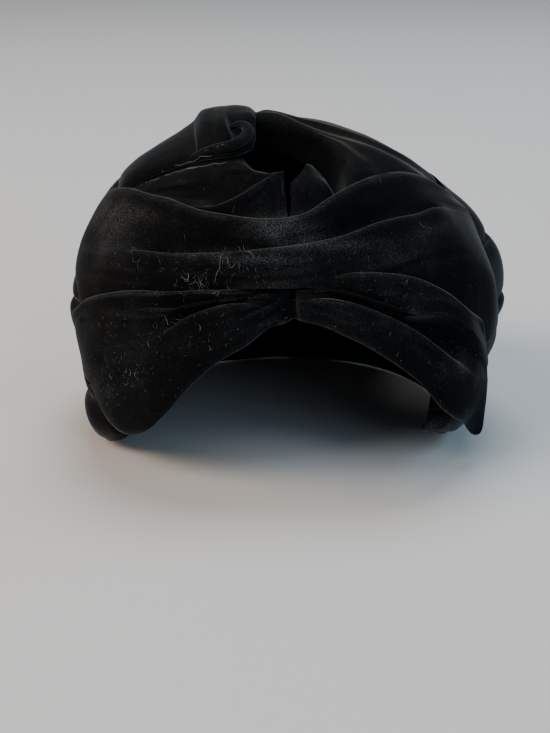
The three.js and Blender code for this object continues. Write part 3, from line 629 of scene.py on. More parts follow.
# Sections from the end under the drape up to the top. Each cell is (x, y, stand) in plan:
# foot, rear, valley, ridge, slope, rim.
RIGHT_SWATH = [
    [(81, 10, -16), (80, 0, -12.5), (76, -14, -11), (69, -26, -9.5), (47, -49, -8.5), (29, -64, -8.5)],
    [(77, 32, -12), (77, 20, -2), (72.5, 3, -2.8), (66, -12, -2.2), (45, -37, -3), (29, -50, -3.4)],
    [(67, 29, -9), (65, 17, -1), (61, 3.5, -2.5), (56, -9.5, -0.7), (41.5, -27, -1.8), (28.5, -41, -2)],
    [(50, 24, -9), (48.5, 12, -1.2), (46, 1, -3), (42, -10, -0.8), (33, -22, -1.7), (27, -32, -1.8)],
    [(34, 25, -9), (33, 13, -1.3), (31, 1, -3.4), (28, -11, -1.4), (25.5, -16, -1.8), (22, -20, -2)],
    [(18, 25, -9), (17.5, 13, -1.3), (16, 2, -3.4), (15, -7, -1.6), (13.5, -10, -1.8), (12, -12, -2.4)],
    [(4, 25, -9), (4, 13, -1), (3, 4, -2.2), (2, -1, -0.8), (0.5, -4, -0.9), (-1, -6, -2)],
    [(-7, 26, -8), (-7, 14, 1.2), (-7.5, 7, 0.8), (-8, 3, 1.4), (-8.5, 0, 1), (-9.5, -3, -0.8)],
    [(-13, 26, -8), (-13, 15, 2), (-13.5, 8, 1.6), (-13.5, 4, 1.8), (-13.5, 0, 1.2), (-14, -3, -0.8)],
    [(-19, 25, -8), (-19, 15, 0.4), (-19, 8, 0.6), (-19, 4, 1), (-19, 0, 0.6), (-19, -3, -1.2)],
]
# The foot of the inner face in the same sections: (x, y, drop below the rim).
RIGHT_INNER_FACE = [
    (26, -61, 3), (23, -50, 12), (21.5, -38, 18), (19, -27, 17.5), (14, -15, 16), (7, -8, 15.6),
    (-3, -2, 16), (-9.5, 1, 16.6), (-14, 2, 16), (-20, 2, 14),
]
# The same for the left, from its low end up to the top, where a fold lies over the lower part and
# rolls round a hollow: foot, rear, crest, high, brow, middle, belly, roll, seam.
LEFT_SWATH = [
    [(-89, 22, -8.5), (-89, 18, -9), (-91, 11, -5.5), (-91.5, 5, -4.2), (-91, -1, -4),
     (-90.5, -7, -4), (-89.5, -12, -4.4), (-88, -16.5, -5.4), (-86.5, -20, -7)],
    [(-84, 24, -8.5), (-84, 20, -4), (-86, 12, -0.6), (-86, 5, 0.2), (-85.5, -2, 0.3),
     (-84.5, -8, 0.2), (-83.5, -13, -0.2), (-82.5, -17.5, -1.2), (-81.5, -21, -3.4)],
    [(-77, 26, -8.5), (-77, 22, -2.6), (-78.5, 13, -0.4), (-78.5, 5, 0.8), (-78, -2, 1),
     (-77.3, -9, 0.8), (-76.5, -14.5, 0.4), (-75.5, -19.5, -0.6), (-75, -23.4, -2.8)],
    [(-69, 29, -8.5), (-69, 25, -2.8), (-70, 14, -1.1), (-69.5, 4, 0.3), (-69, -5, 1.2),
     (-68, -13.5, 1), (-67, -20, 0.6), (-66, -25.5, 0), (-65.5, -29.6, -2.2)],
    [(-60, 31, -9), (-60, 27, -2), (-60.5, 15, -0.4), (-60, 4, 0.7), (-59.5, -6, 1.2),
     (-58.5, -16, 1), (-57.5, -22, 0.8), (-57, -28.4, 0.2), (-57, -32.6, -1.8)],
    [(-53, 32, -9), (-53, 28, 0.2), (-52.5, 15, 1.4), (-52, 4, 1.4), (-51.5, -7, 1),
     (-51, -17, 0.7), (-50, -24, 0.4), (-49.5, -30.8, 0), (-50, -35.2, -1.6)],
    [(-48.6, 32, -9), (-48.6, 28, 1.3), (-48.4, 15, 2.5), (-48, 4, 2.4), (-47.6, -7, 1.8),
     (-47, -17, 1.2), (-46.3, -24.6, 0.9), (-46, -32, 0.5), (-47, -36.6, -1.4)],
    [(-46.6, 32, -9), (-46.6, 27.5, 2.6), (-46.5, 15, 3.7), (-46.2, 4, 3.7), (-46, -7, 3.3),
     (-45.6, -17, 2.8), (-45, -25, 2.3), (-44.6, -32.4, 1.4), (-44.8, -37.4, -0.7)],
    [(-43.6, 31, -9), (-43.6, 27, 4.2), (-43.4, 15, 5.9), (-43, 4, 5.6), (-42.8, -7, 5),
     (-42.3, -17, 4.3), (-41.7, -25.6, 3.4), (-41.2, -33.2, 2), (-41, -38.8, -0.4)],
    [(-39, 30, -9), (-39, 26, 4), (-38.8, 15, 5.9), (-38.5, 4, 5.4), (-38, -7, 4.6),
     (-37.6, -17, 3.8), (-37.2, -26, 2.8), (-36.8, -33.8, 1.4), (-36.5, -40, -0.4)],
    [(-34.5, 30, -9), (-33.5, 26, 3.6), (-34, 15, 5.4), (-33.5, 4, 5.8), (-33, -7, 5.6),
     (-32, -17, 5.2), (-30.5, -26.6, 4), (-31, -34.6, 1), (-31, -41, -0.4)],
    [(-29, 29, -9), (-29, 25, 3.6), (-29, 14, 4.9), (-29, 4, 4.4), (-28.8, -6, 2.6),
     (-28.6, -14, -2), (-27.5, -25, -1.5), (-27.5, -34, 0), (-27, -41, -0.6)],
    [(-24.5, 27, -9), (-24.5, 23, 3), (-24.5, 13, 4.4), (-24.5, 4, 4), (-24.5, -5, 2.8),
     (-25, -12, -3.5), (-24, -23, -3.5), (-24, -32, -0.4), (-24, -39.5, -0.8)],
    [(-21, 25, -9), (-21, 21, 2), (-20.5, 12, 3.3), (-20.5, 4, 3.4), (-20.5, -4, 2.6),
     (-21, -11, -2), (-20.5, -21, -2), (-20.5, -30, -0.8), (-21, -37.5, -1.2)],
    [(-18, 24, -9), (-18, 20, -0.6), (-17.5, 11, 0.6), (-17.5, 3, 1.2), (-17.5, -4, 0.4),
     (-17.8, -11, -2.4), (-17.5, -20, -3), (-18, -28, -2.8), (-19, -35, -2.8)],
]
# The rolled edge round the hollow: (x, y, stand of its middle, half width, half height).
CURL = [
    (-50, -31.6, -1.6, 1.0, 0.6), (-44.6, -33.4, 0.3, 2.0, 1.2), (-38, -35.2, 1.4, 2.7, 1.7),
    (-30.6, -36.8, 2.1, 3.0, 2.0), (-24.8, -35.4, 2.6, 3.0, 2.1), (-21.6, -31, 2.9, 2.9, 2.1),
    (-21, -26, 3.1, 2.7, 2.0), (-22.6, -21, 3.1, 2.3, 1.8), (-26.4, -17.4, 2.4, 1.8, 1.4),
    (-30, -16.6, 0.4, 1.2, 1.0),
]
RIGHT_SWATH_STEPS, LEFT_SWATH_STEPS = 18, 9  # mesh sections to a section of the table
CURL_SECTIONS, CURL_AROUND = 110, 25
CURL_REACH = 150  # degrees that the roll turns down to either side

# ------------------------------------------------------------------ tables: the pile and its painted sheen

LIE_REACH = 2  # how many grid points to either side the cloth's bend is measured over
SHORTEST_SPAN = 0.5
CREST_GAIN, CREST_LOSS = 2.2, 0.05  # a crest's strength by its bend, and the bend that doesn't count
FACING_FROM, FACING_RANGE = 0.35, 0.6  # the normal's rise from which cloth counts as facing up
# How far the colour is lifted toward the lighter pile: a plain level everywhere, and painted sheen on a
# crest, where it faces up and at the painted highlight spots.
LIE_PLAIN, PAINTED_CREST_SHEEN, PAINTED_TOP_SHEEN, PAINTED_SPOT_SHEEN = 0.034, 0.56, 0.06, 0.8
# Noise in it, as (middle, spread, size, seed): patches in the painted sheen on upward faces, and a random
# mottle over all of it.
TOP_SHEEN_PATCHES = (0.5, 0.8, 22, 71)
MOTTLE = (0.9, 0.25, 9, 72)
# Painted highlights: spots where the colour is lifted toward the lighter pile, as (azimuth, height, half
# width in degrees, half height, strength).
PAINTED_HIGHLIGHT_SPOTS = (
    (-63, 121, 10, 9.5, 0.72), (-50, 127.5, 10, 4, 0.35), (1, 125.5, 10, 4.6, 1),
    (-8, 115, 14, 2.2, 0.65), (14, 120, 12, 2.2, 0.6), (30, 114, 10, 6, 0.25), (48, 121, 9, 3, 0.28),
    (-58, 108, 12, 6, 0.2), (-62, 92, 8, 9, 0.18), (2, 110, 12, 5, 0.15), (42, 61, 6, 6, 0.3),
    (51, 20, 7, 7, 0.6), (-45, 74, 12, 14, 0.1), (26, 92, 16, 12, 0.12),
)

# ------------------------------------------------------------------ tables: lint and seams

CAST_REACH = 60.0  # how far out a ray at the cloth starts
DEEPEST_CLOTH = 20.0  # cloth farther in than this is the far side, seen through an opening
THREAD_SIDES = 4
THREAD_GLOSS = 0.1
TIP_WIDTH, TIP_GROWTH = 0.35, 0.4  # a thread's width at its tips, and what each point adds to it
UNLIKE_ANY_THREAD = (0.3, -0.5, 0.81)  # a direction that no thread follows
FIBRE_RADII = (0.045, 0.07)
SHORT_FIBRE_LENGTHS = (0.5, 2.8)
SHORT_FIBRE_RADII = (0.02, 0.035)
SHORT_FIBRE_CURL = 30  # spread of the degrees a millimetre
FIBRE_POINTS, FEWEST_FIBRE_POINTS = 1.8, 4  # to a millimetre, and at all
FIBRE_LIFT, FIBRE_ARCH = 0.1, 0.4  # how far a fibre's ends stand off the cloth, and its middle more
FIBRE_ARCHES = (0.4, 1)  # least and most of the arch at a point
FIBRE_WAVER = 0.3  # how unsteady its heading is, in radians a point
LONGEST_JUMP = 2.5  # steps beyond which a fibre would leap over an edge
CRUMB_SIZE = 0.24
SPECK_SIZES = (0.05, 0.14)
SPECK_HEIGHTS = (12, 132)
SPECK_LIFT = 0.05
LINT_COLOUR = (0.3, 0.3, 0.29)
DUST_COLOUR = (0.22, 0.22, 0.22)
# Long fibres that cling to the front: (azimuth, height, heading, length, curl in degrees a millimetre).
LONG_FIBRES = (
    (-17.2, 114.6, -92, 12, 1.5), (-15.6, 114, -75, 7.5, 7), (-13.4, 120, -48, 9, 4),
    (-11.8, 120.4, -70, 7, -2), (-10.6, 115.8, -12, 5, -10), (-28.2, 105.4, -30, 6, 22),
    (-26.4, 106.4, -60, 5, -30), (-24.8, 103.6, 30, 7, -22), (-23.4, 106, -110, 5, 26),
    (-22.4, 105, -170, 6, 20), (-26.6, 102.6, 8, 5, 24), (-20, 99.4, 10, 4, 24), (-18, 98.4, 110, 3, -30),
    (-31.8, 88.6, -80, 5, 14), (-30.6, 85, 40, 4, -26), (-29.6, 87.4, -20, 3, 30),
    (-22.6, 86.4, -25, 3.5, -20), (-43, 60.4, -60, 4, -40), (-42, 57.4, 10, 4, 45),
    (-39.4, 58, 170, 4, -45), (-44, 52.6, -30, 3, 18), (43.6, 122.4, -75, 4, 14),
    (-50.6, 53.4, -50, 3, 16), (-36, 76, -60, 3, -14), (-20, 78, -80, 3, 12),
)
# Pale crumbs of lint: (azimuth, height).
CRUMBS = (
    (47, 119), (-4.6, 103), (-13, 85.4), (25, 72.6), (26, 70.2), (25.3, 73.6), (53, 61), (14.5, 97),
    (11, 86.6), (-19, 99.6), (-39, 57.4), (-57, 57), (20, 87),
)
# Where short fibres gather: (azimuth, height, spread in degrees, spread up and down).
LINT_TUFTS = (
    (-44, 58, 4, 4), (-21.5, 103, 5, 3), (-46, 76, 8, 8), (-14, 96, 28, 20), (-24, 84, 9, 8),
    (-11, 107, 4, 3), (-52, 44, 4, 7), (27, 100, 8, 4), (-6, 112, 16, 6), (-38, 109, 10, 5),
    (42, 65, 9, 12), (-36, 70, 13, 13),
)

# The hand stitches along the front of the left swath, in plan: (x, y).
SEAM_LINE = (
    (-74, -22.8), (-66, -28.6), (-61, -30.6), (-56, -32.2), (-50, -34.6), (-45, -36.6), (-40, -38.4),
    (-35, -39.6), (-30, -40.2),
)
SECOND_SEAM_LINE = ((-47, -34.8), (-42, -36.4), (-37, -38), (-32, -39.2), (-27.5, -39.6))
SEAM_PITCH, SECOND_SEAM_PITCH = 2.2, 2.6
SEAM_START = 0.5
STITCH_LENGTHS, STITCH_STEPS = (0.4, 1.0), (0.8, 1.5)  # least and most, in pitches
STITCH_SHARES = (0.0, 0.25, 0.5, 0.75, 1.0)
STITCH_DEPTH, STITCH_ARCH = 0.1, 0.45
STITCH_SCATTER = (0.25, 0.5)  # of its ends, across and back
STITCH_RADII = (0.08, 0.14)
# Loose runs of thread along the seam: (start share, end share, how far behind the line).
THREAD_RUNS = ((0.3, 0.98, 0.0), (0.42, 0.9, 0.7), (0.55, 1.0, -0.6), (0.12, 0.5, 0.3))
RUN_STEP = 0.8
RUN_LIFT = 0.12
RUN_SWING, RUN_SWING_RATE = 0.25, 0.9
RUN_SWING_START = 5  # times the run's own start, so that no two runs swing alike
RUN_WAVER = 0.06
DEEPEST_STITCH = 1.2  # a stitch isn't carried over an edge deeper than this
FRAYED_END = (45.2, 22.5)  # azimuth and height of the wrap's cut end
FRAYED_THREADS, FRAYED_SEGMENTS = 10, 5
FRAYED_SPREAD = (1, 1.5)  # in degrees and up and down
FRAYED_HEADING = (-0.3, -1.0)  # toward the front, and down
FRAYED_SIDEWAYS, FRAYED_WAVER = 0.5, 0.35
FRAYED_STEPS = (0.4, 0.8)
FRAYED_RADII = (0.08, 0.12)
LOOSE_THREAD = [(3.6 - 0.12 * k, 144.6 - 0.9 * k) for k in range(7)]  # down from the panels' corner
LOOSE_LIFT = 0.4
SEAM_COLOUR = (0.17, 0.175, 0.18)
FRAY_COLOUR = (0.05, 0.05, 0.054)

# ------------------------------------------------------------------ tables: the stage

FLOOR_SIZE = 16.0
FLOOR_GLOSS = 0.2
LIGHTS_AIM = (0, 0, 80 * MM)
# Name, place, size, watts and colour.
LIGHTS = (
    ("key_light", (-1.9, -1.7, 2.6), 1.6, 54, (1.0, 0.95, 0.9)),
    ("left_rim", (-2.5, -0.3, 1.2), 1.2, 52, (1.0, 0.62, 0.3)),
    ("right_rim", (2.3, 0.6, 1.5), 1.4, 20, (0.5, 0.85, 1.0)),
    ("top_light", (0.2, 0.9, 3.0), 2.0, 58, (0.96, 0.98, 1.0)),
    ("front_fill", (1.6, -2.6, 1.6), 2.0, 25, (0.6, 0.84, 1.0)),
)
SKY_COLOUR = (0.8, 0.84, 0.9, 1)
SKY_STRENGTH = 0.18
FARTHEST_SEEN = 50

# ------------------------------------------------------------------ tables: the materials

# The pile's noises, as (detail, roughness, distortion), and the ramps that make masks of them.
TUFT_NOISE, TUFT_RAMP = (2.0, 0.65, 0.0), (0.42, 0.66)
PATCH_NOISE, PATCH_RAMP = (3.0, 0.55, 0.6), (0.48, 0.74)
FLECK_NOISE, FLECK_RAMP = (1.0, 0.5, 0.0), (0.68, 0.8)
FLECK_SCALE = 0.7  # beside the tufts
FLECK_GLINT = (0.018, 0.018, 0.02, 1)
PATCH_SCALE = 36.0
PATCH_LIE = 0.07  # how far open the pile lies in a patch
TUFT_SHARE, TUFT_LEAST = 0.95, 0.12  # how much more brushed a tuft's top is than its foot, and the foot
PATCH_HEIGHT = 0.08  # beside the tufts
DULL, DULL_BRUSHED = 0.95, 0.78  # roughness of upright and of brushed pile
SHEEN_WEIGHT, SHEEN_ROUGHNESS = 0.4, 0.27
PILE_BUMP = (0.35, 0.3 * MM)  # strength and distance
WEAVE_THREADS, WEAVE_DISTORTION, WEAVE_SHADE = 900.0, 0.4, 0.7
WEAVE_BUMP = (0.4, 0.1 * MM)
WEAVE_GLOSS = 0.03
DULL_SURFACE = 0.9  # roughness of all that isn't pile

# ------------------------------------------------------------------ settings


def length_setting(name, description, default):
    return bpy.props.FloatProperty(name=name, description=description, default=default, unit="LENGTH")


def colour_setting(name, description, default):
    return bpy.props.FloatVectorProperty(
        name=name, description=description, default=default, size=3, subtype="COLOR"
    )


class VelvetSettings(bpy.types.PropertyGroup):
    """What the cloth is."""

    thickness: length_setting("Cloth thickness", "Velvet with its pile", 1.05 * MM)
    spacing: length_setting("Mesh spacing", "Size of the cloth's quads", 1.35 * MM)
    black: colour_setting("Pile colour", "Colour looking into the pile", (0.0032, 0.0036, 0.0043))
    # Lighter pile colour: shown in random brushed patches, and as painted sheen and highlights.
    brushed_and_sheen: colour_setting("Brushed pile colour", "Colour where the pile lies over", (0.088, 0.094, 0.102))
    sheen: colour_setting("Sheen colour", "Tint of the light that the pile's tips catch", (0.6, 0.66, 0.71))
    ground: colour_setting("Ground colour", "Colour of the woven back", (0.005, 0.005, 0.0055))
    grain: length_setting("Grain size", "Size of the tufts that glint", 0.6 * MM)


class DrapeSettings(bpy.types.PropertyGroup):
    """How the cloth was draped."""

    ruffle: length_setting("Unevenness", "Height of the soft unevenness", 0.45 * MM)
    ruffle_size: length_setting("Unevenness size", "Width of its humps", 34 * MM)
    end_turn: length_setting("End turn", "How far the end edges turn in", 1.6 * MM)


class LintSettings(bpy.types.PropertyGroup):
    """How much lint clings to the cloth."""

    seed: bpy.props.IntProperty(
        name="Seed", description="Another seed scatters the lint another way", default=5
    )
    short_fibres: bpy.props.IntProperty(
        name="Short fibres", description="How many short fibres lie on the front", default=380
    )
    specks: bpy.props.IntProperty(
        name="Specks", description="How many specks of dust lie all over", default=1500
    )


class StageSettings(bpy.types.PropertyGroup):
    """Floor, light and camera."""

    floor: colour_setting("Floor colour", "Plain pale floor", (0.62, 0.63, 0.65))
    distance: length_setting("Camera distance", "From the point it looks at", 0.72)
    elevation: bpy.props.FloatProperty(
        name="Camera elevation", description="Above the horizon", default=math.radians(20),
        subtype="ANGLE",
    )
    target: bpy.props.FloatVectorProperty(
        name="Camera target", description="The point it looks at", size=3,
        default=(-5.45 * MM, -8.5 * MM, 31 * MM), subtype="XYZ",
    )
    lens: bpy.props.FloatProperty(
        name="Lens", description="Focal length in millimetres", default=66.7
    )


# ------------------------------------------------------------------ materials


def feed(node, inputs):
    """Sets each of these inputs of a node, or links it where its value is another node's output."""
    for key, value in inputs.items():
        if isinstance(value, bpy.types.NodeSocket):
            node.id_data.links.new(value, node.inputs[key])
        else:
            node.inputs[key].default_value = value


def add_node(tree, kind, inputs, **settings):
    """A node's outputs: it is made in the tree, set up, and then fed these inputs."""
    node = tree.nodes.new("ShaderNode" + kind)
    for key, value in settings.items():
        setattr(node, key, value)
    feed(node, inputs)
    return node.outputs


def add_math(tree, operation, *values, clamp=False):
    inputs = dict(enumerate(values))
    return add_node(tree, "Math", inputs, operation=operation, use_clamp=clamp)[0]


def add_noise(tree, place, scale, detail, roughness, distortion):
    inputs = {
        "Vector": place, "Scale": scale, "Detail": detail, "Roughness": roughness,
        "Distortion": distortion,
    }
    return add_node(tree, "TexNoise", inputs)["Fac"]


def add_ramp(tree, value, low, high):
    """The value with low..high mapped to 0..1 smoothly."""
    inputs = {"Value": value, "From Min": low, "From Max": high}
    return add_node(tree, "MapRange", inputs, interpolation_type="SMOOTHSTEP")["Result"]


def add_mix(tree, blend, factor, first, second):
    inputs = {"Factor": factor, "A": first, "B": second}
    return add_node(tree, "Mix", inputs, data_type="RGBA", blend_type=blend)["Result"]


def new_group(name, inputs, outputs):
    """A shader node group with these (kind, name) sockets, what it is given and its output node."""
    group = bpy.data.node_groups.new(name, "ShaderNodeTree")
    for side, sockets in (("INPUT", inputs), ("OUTPUT", outputs)):
        for kind, label in sockets:
            group.interface.new_socket(label, in_out=side, socket_type="NodeSocket" + kind)
    return group, group.nodes.new("NodeGroupInput").outputs, group.nodes.new("NodeGroupOutput")


def pile_group():
    """Velvet pile: tufts that glint, soft patches where the pile is brushed over, the painted sheen it is
    given, and its height.
    """
    group, given, result = new_group(
        "Velvet pile",
        [
            ("Vector", "Place"), ("Float", "Tufts"), ("Float", "Patches"), ("Float", "PaintedSheen"),
            ("Color", "Upright"), ("Color", "BrushedAndSheen"),
        ],
        [("Color", "Colour"), ("Float", "Height"), ("Float", "Dullness")],
    )
    tufts = add_noise(group, given["Place"], given["Tufts"], *TUFT_NOISE)
    patches = add_noise(group, given["Place"], given["Patches"], *PATCH_NOISE)
    fleck_scale = add_math(group, "MULTIPLY", given["Tufts"], FLECK_SCALE)
    flecks = add_noise(group, given["Place"], fleck_scale, *FLECK_NOISE)
    tuft_mask = add_ramp(group, tufts, *TUFT_RAMP)
    patch_mask = add_ramp(group, patches, *PATCH_RAMP)
    fleck_mask = add_ramp(group, flecks, *FLECK_RAMP)

    # Random brushed patches plus the painted sheen set how far the colour goes toward the lighter pile
    # colour.
    open_pile_and_sheen = add_math(group, "MULTIPLY_ADD", patch_mask, PATCH_LIE, given["PaintedSheen"])
    tuft_share = add_math(group, "MULTIPLY_ADD", tuft_mask, TUFT_SHARE, TUFT_LEAST)
    brushed_and_sheen = add_math(group, "MULTIPLY", open_pile_and_sheen, tuft_share, clamp=True)
    base = add_mix(group, "MIX", brushed_and_sheen, given["Upright"], given["BrushedAndSheen"])
    dullness = {"Value": patch_mask, "To Min": DULL, "To Max": DULL_BRUSHED}
    feed(result, {
        "Colour": add_mix(group, "ADD", fleck_mask, base, FLECK_GLINT),
        "Height": add_math(group, "MULTIPLY_ADD", patches, PATCH_HEIGHT, tufts),
        "Dullness": add_node(group, "MapRange", dullness)["Result"],
    })
    return group


def weave_group():
    """A plain weave on the cloth's own UV map: threads over and under each other."""
    group, given, result = new_group(
        "Plain weave",
        [("Vector", "Place"), ("Float", "Threads"), ("Color", "Yarn")],
        [("Color", "Colour"), ("Float", "Height")],
    )
    wave = {"Vector": given["Place"], "Scale": given["Threads"], "Distortion": WEAVE_DISTORTION}
    threads = [add_node(group, "TexWave", wave, bands_direction=way)["Fac"] for way in ("X", "Y")]
    over = add_math(group, "MAXIMUM", *threads)
    shade = add_mix(group, "MULTIPLY", WEAVE_SHADE, given["Yarn"], over)
    feed(result, {"Height": over, "Colour": shade})
    return group


def placed_group(tree, group, coordinate, inputs):
    """The outputs of the group, which reads this texture coordinate and these inputs."""
    place = add_node(tree, "TexCoord", {})[coordinate]
    return add_node(tree, "Group", {"Place": place, **inputs}, node_tree=group)


def bumped(tree, height, strength, distance):
    inputs = {"Strength": strength, "Distance": distance, "Height": height}
    return add_node(tree, "Bump", inputs)["Normal"]


def velvet(tree):
    """Black velvet: near black into the pile, a soft grey sheen where it turns away, and painted sheen that
    lightens its base colour on crests, upward faces and highlight spots.
    """
    settings = bpy.context.scene.hat_velvet
    pile = placed_group(tree, pile_group(), "Object", {
        "Tufts": 1 / settings.grain,
        "Patches": PATCH_SCALE,
        # Painted sheen: crests, upward faces and highlight spots made lighter.
        "PaintedSheen": add_node(tree, "Attribute", {}, attribute_name="painted_sheen")["Fac"],
        "Upright": (*settings.black, 1),
        "BrushedAndSheen": (*settings.brushed_and_sheen, 1),
    })
    return {
        "Specular IOR Level": 0.0,
        "Sheen Weight": SHEEN_WEIGHT,
        "Sheen Roughness": SHEEN_ROUGHNESS,
        "Sheen Tint": (*settings.sheen, 1),
        "Base Color": pile["Colour"],
        "Roughness": pile["Dullness"],
        "Normal": bumped(tree, pile["Height"], *PILE_BUMP),
    }


def woven_ground(tree):
    """The woven back of the velvet, which shows inside the hat."""
    yarn = (*bpy.context.scene.hat_velvet.ground, 1)
    weave = placed_group(tree, weave_group(), "UV", {"Threads": WEAVE_THREADS, "Yarn": yarn})
    return {
        "Specular IOR Level": WEAVE_GLOSS,
        "Roughness": DULL_SURFACE,
        "Base Color": weave["Colour"],
        "Normal": bumped(tree, weave["Height"], *WEAVE_BUMP),
    }


def plain(colour, specular):
    """A dull material of one colour."""
    inputs = {"Specular IOR Level": specular, "Roughness": DULL_SURFACE, "Base Color": (*colour, 1)}
    return lambda tree: inputs


def named_material(name, look):
    """The material of this name. The first call makes it, with the inputs that look(tree) gives."""
    if name not in bpy.data.materials:
        material = bpy.data.materials.new(name)
        material.use_nodes = True
        tree = material.node_tree
        feed(tree.nodes["Principled BSDF"], look(tree))
    return bpy.data.materials[name]


# ------------------------------------------------------------------ mesh helpers


def to_frame(points):
    """Dome coordinates in millimetres as metres in the frame."""
    return (np.asarray(points, float) + OUTLINE_SHIFT) * MM


# Painted highlights: how strongly each point lies in the listed highlight spots.
def painted_highlights(grid):
    place = unrolled(grid)
    total = np.zeros(grid.shape[:-1])
    for azimuth, height, width, rise, strength in PAINTED_HIGHLIGHT_SPOTS:
        across = (place[..., 0] - azimuth * AZIMUTH_WIDTH) / (width * AZIMUTH_WIDTH)
        upward = (place[..., 1] - height) / rise
        total += strength * np.exp(-(across**2) - upward**2)
    return total


def noise_about(grid, middle, spread, size, seed):
    return middle + spread * soft_noise(grid, size, seed)


def painted_pile_sheen(grid):
    """Painted sheen at each point, 0..1: a plain level, lighter on crests, on upward faces and at the
    painted highlight spots, under a random mottle.
    """
    normal = grid_normals(grid)
    padded = np.pad(grid, ((0, 0), (LIE_REACH, LIE_REACH), (0, 0)), mode="edge")
    before, after = padded[:, : -2 * LIE_REACH], padded[:, 2 * LIE_REACH :]
    bend = ((grid - (before + after) / 2) * normal).sum(-1)
    span = np.maximum(np.linalg.norm(after - before, axis=-1), SHORTEST_SPAN)
    # Painted sheen: crests of the folds made lighter, as if they caught the light.
    crest = np.clip(bend / span * CREST_GAIN - CREST_LOSS, 0, 1)
    # Painted highlight: faces that turn up made lighter, as if lit from above.
    facing_up = smooth_step((normal[..., 2] - FACING_FROM) / FACING_RANGE)
    patches = np.clip(noise_about(grid, *TOP_SHEEN_PATCHES), 0, 1)
    painted_sheen = LIE_PLAIN + PAINTED_CREST_SHEEN * crest + PAINTED_TOP_SHEEN * facing_up * patches
    # Painted highlights at the listed spots.
    painted_sheen = painted_sheen + PAINTED_SPOT_SHEEN * painted_highlights(grid)
    return np.clip(painted_sheen * noise_about(grid, *MOTTLE), 0, 1)


def linked_object(name, mesh):
    mesh.update()
    made = bpy.data.objects.new(name, mesh)
    bpy.context.scene.collection.objects.link(made)
    return made


def cloth_object(name, grid):
    """A mesh object from a grid of points, with a UV map in metres along and across the cloth."""
    rows, columns = grid.shape[:2]
    if not np.isfinite(grid).all():
        raise RuntimeError(f"{name}: the cloth's guide lines don't give a whole grid")
    index = np.arange(rows * columns).reshape(rows, columns)
    faces = np.stack([index[:-1, :-1], index[1:, :-1], index[1:, 1:], index[:-1, 1:]], -1)
    mesh = bpy.data.meshes.new(name)
    mesh.from_pydata(to_frame(grid).reshape(-1, 3).tolist(), [], faces.reshape(-1, 4).tolist())
    along = np.linalg.norm(np.diff(grid, axis=0), axis=-1).mean(1).cumsum() * MM
    across = np.linalg.norm(np.diff(grid, axis=1), axis=-1).mean(0).cumsum() * MM
    u = np.concatenate([[0], along])[:, None].repeat(columns, 1).ravel()
    v = np.concatenate([[0], across])[None, :].repeat(rows, 0).ravel()
    corners = faces.reshape(-1)
    uv = mesh.uv_layers.new(name="cloth")
    uv.data.foreach_set("uv", np.stack([u[corners], v[corners]], -1).astype(np.float32).ravel())
    mesh.polygons.foreach_set("use_smooth", np.ones(len(mesh.polygons), bool))
    # The painted sheen, which the velvet material reads to lighten its base colour.
    painted_sheen = mesh.attributes.new("painted_sheen", "FLOAT", "POINT")
    painted_sheen.data.foreach_set("value", painted_pile_sheen(grid).astype(np.float32).ravel())
    return linked_object(name, mesh)


def thicken(piece, thickness):
    """Gives a cloth its thickness on the inner side, where the second material shows."""
    bpy.ops.object.select_all(action="DESELECT")
    piece.select_set(True)
    bpy.context.view_layer.objects.active = piece
    solid = piece.modifiers.new("thickness", "SOLIDIFY")
    solid.thickness = thickness
    solid.offset = -1
    solid.use_rim = True
    solid.material_offset = 1
    solid.material_offset_rim = 0
    bpy.ops.object.modifier_apply(modifier=solid.name)


def finish_cloth(name, grid, nodes):
    """A velvet piece from its grid: thickness, materials and what the frame is told about it."""
    piece = cloth_object(name, grid)
    piece.data.materials.append(named_material("black_velvet", velvet))
    piece.data.materials.append(named_material("velvet_ground", woven_ground))
    thicken(piece, bpy.context.scene.hat_velvet.thickness)
    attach(piece, BODY)
    if nodes:
        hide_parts(*nodes)


def draped(grid, seed, ends=0.0):
    """The grid with its hand-draped unevenness and this share of it turned in at either end."""
    drape = bpy.context.scene.hat_drape
    grid = ruffled(grid, drape.ruffle / MM, drape.ruffle_size / MM, seed)
    if ends:
        grid = rounded_ends(grid, drape.end_turn / MM, ends)
    return grid


def spacing():
    return bpy.context.scene.hat_velvet.spacing / MM


def draped_band(lines, extent, creases, seed, place=stand_off, ends=0.0):
    """The grid of a band of cloth with its creases drawn in, draped."""
    return draped(creased(band_grid(lines, extent, place, spacing()), creases), seed, ends)


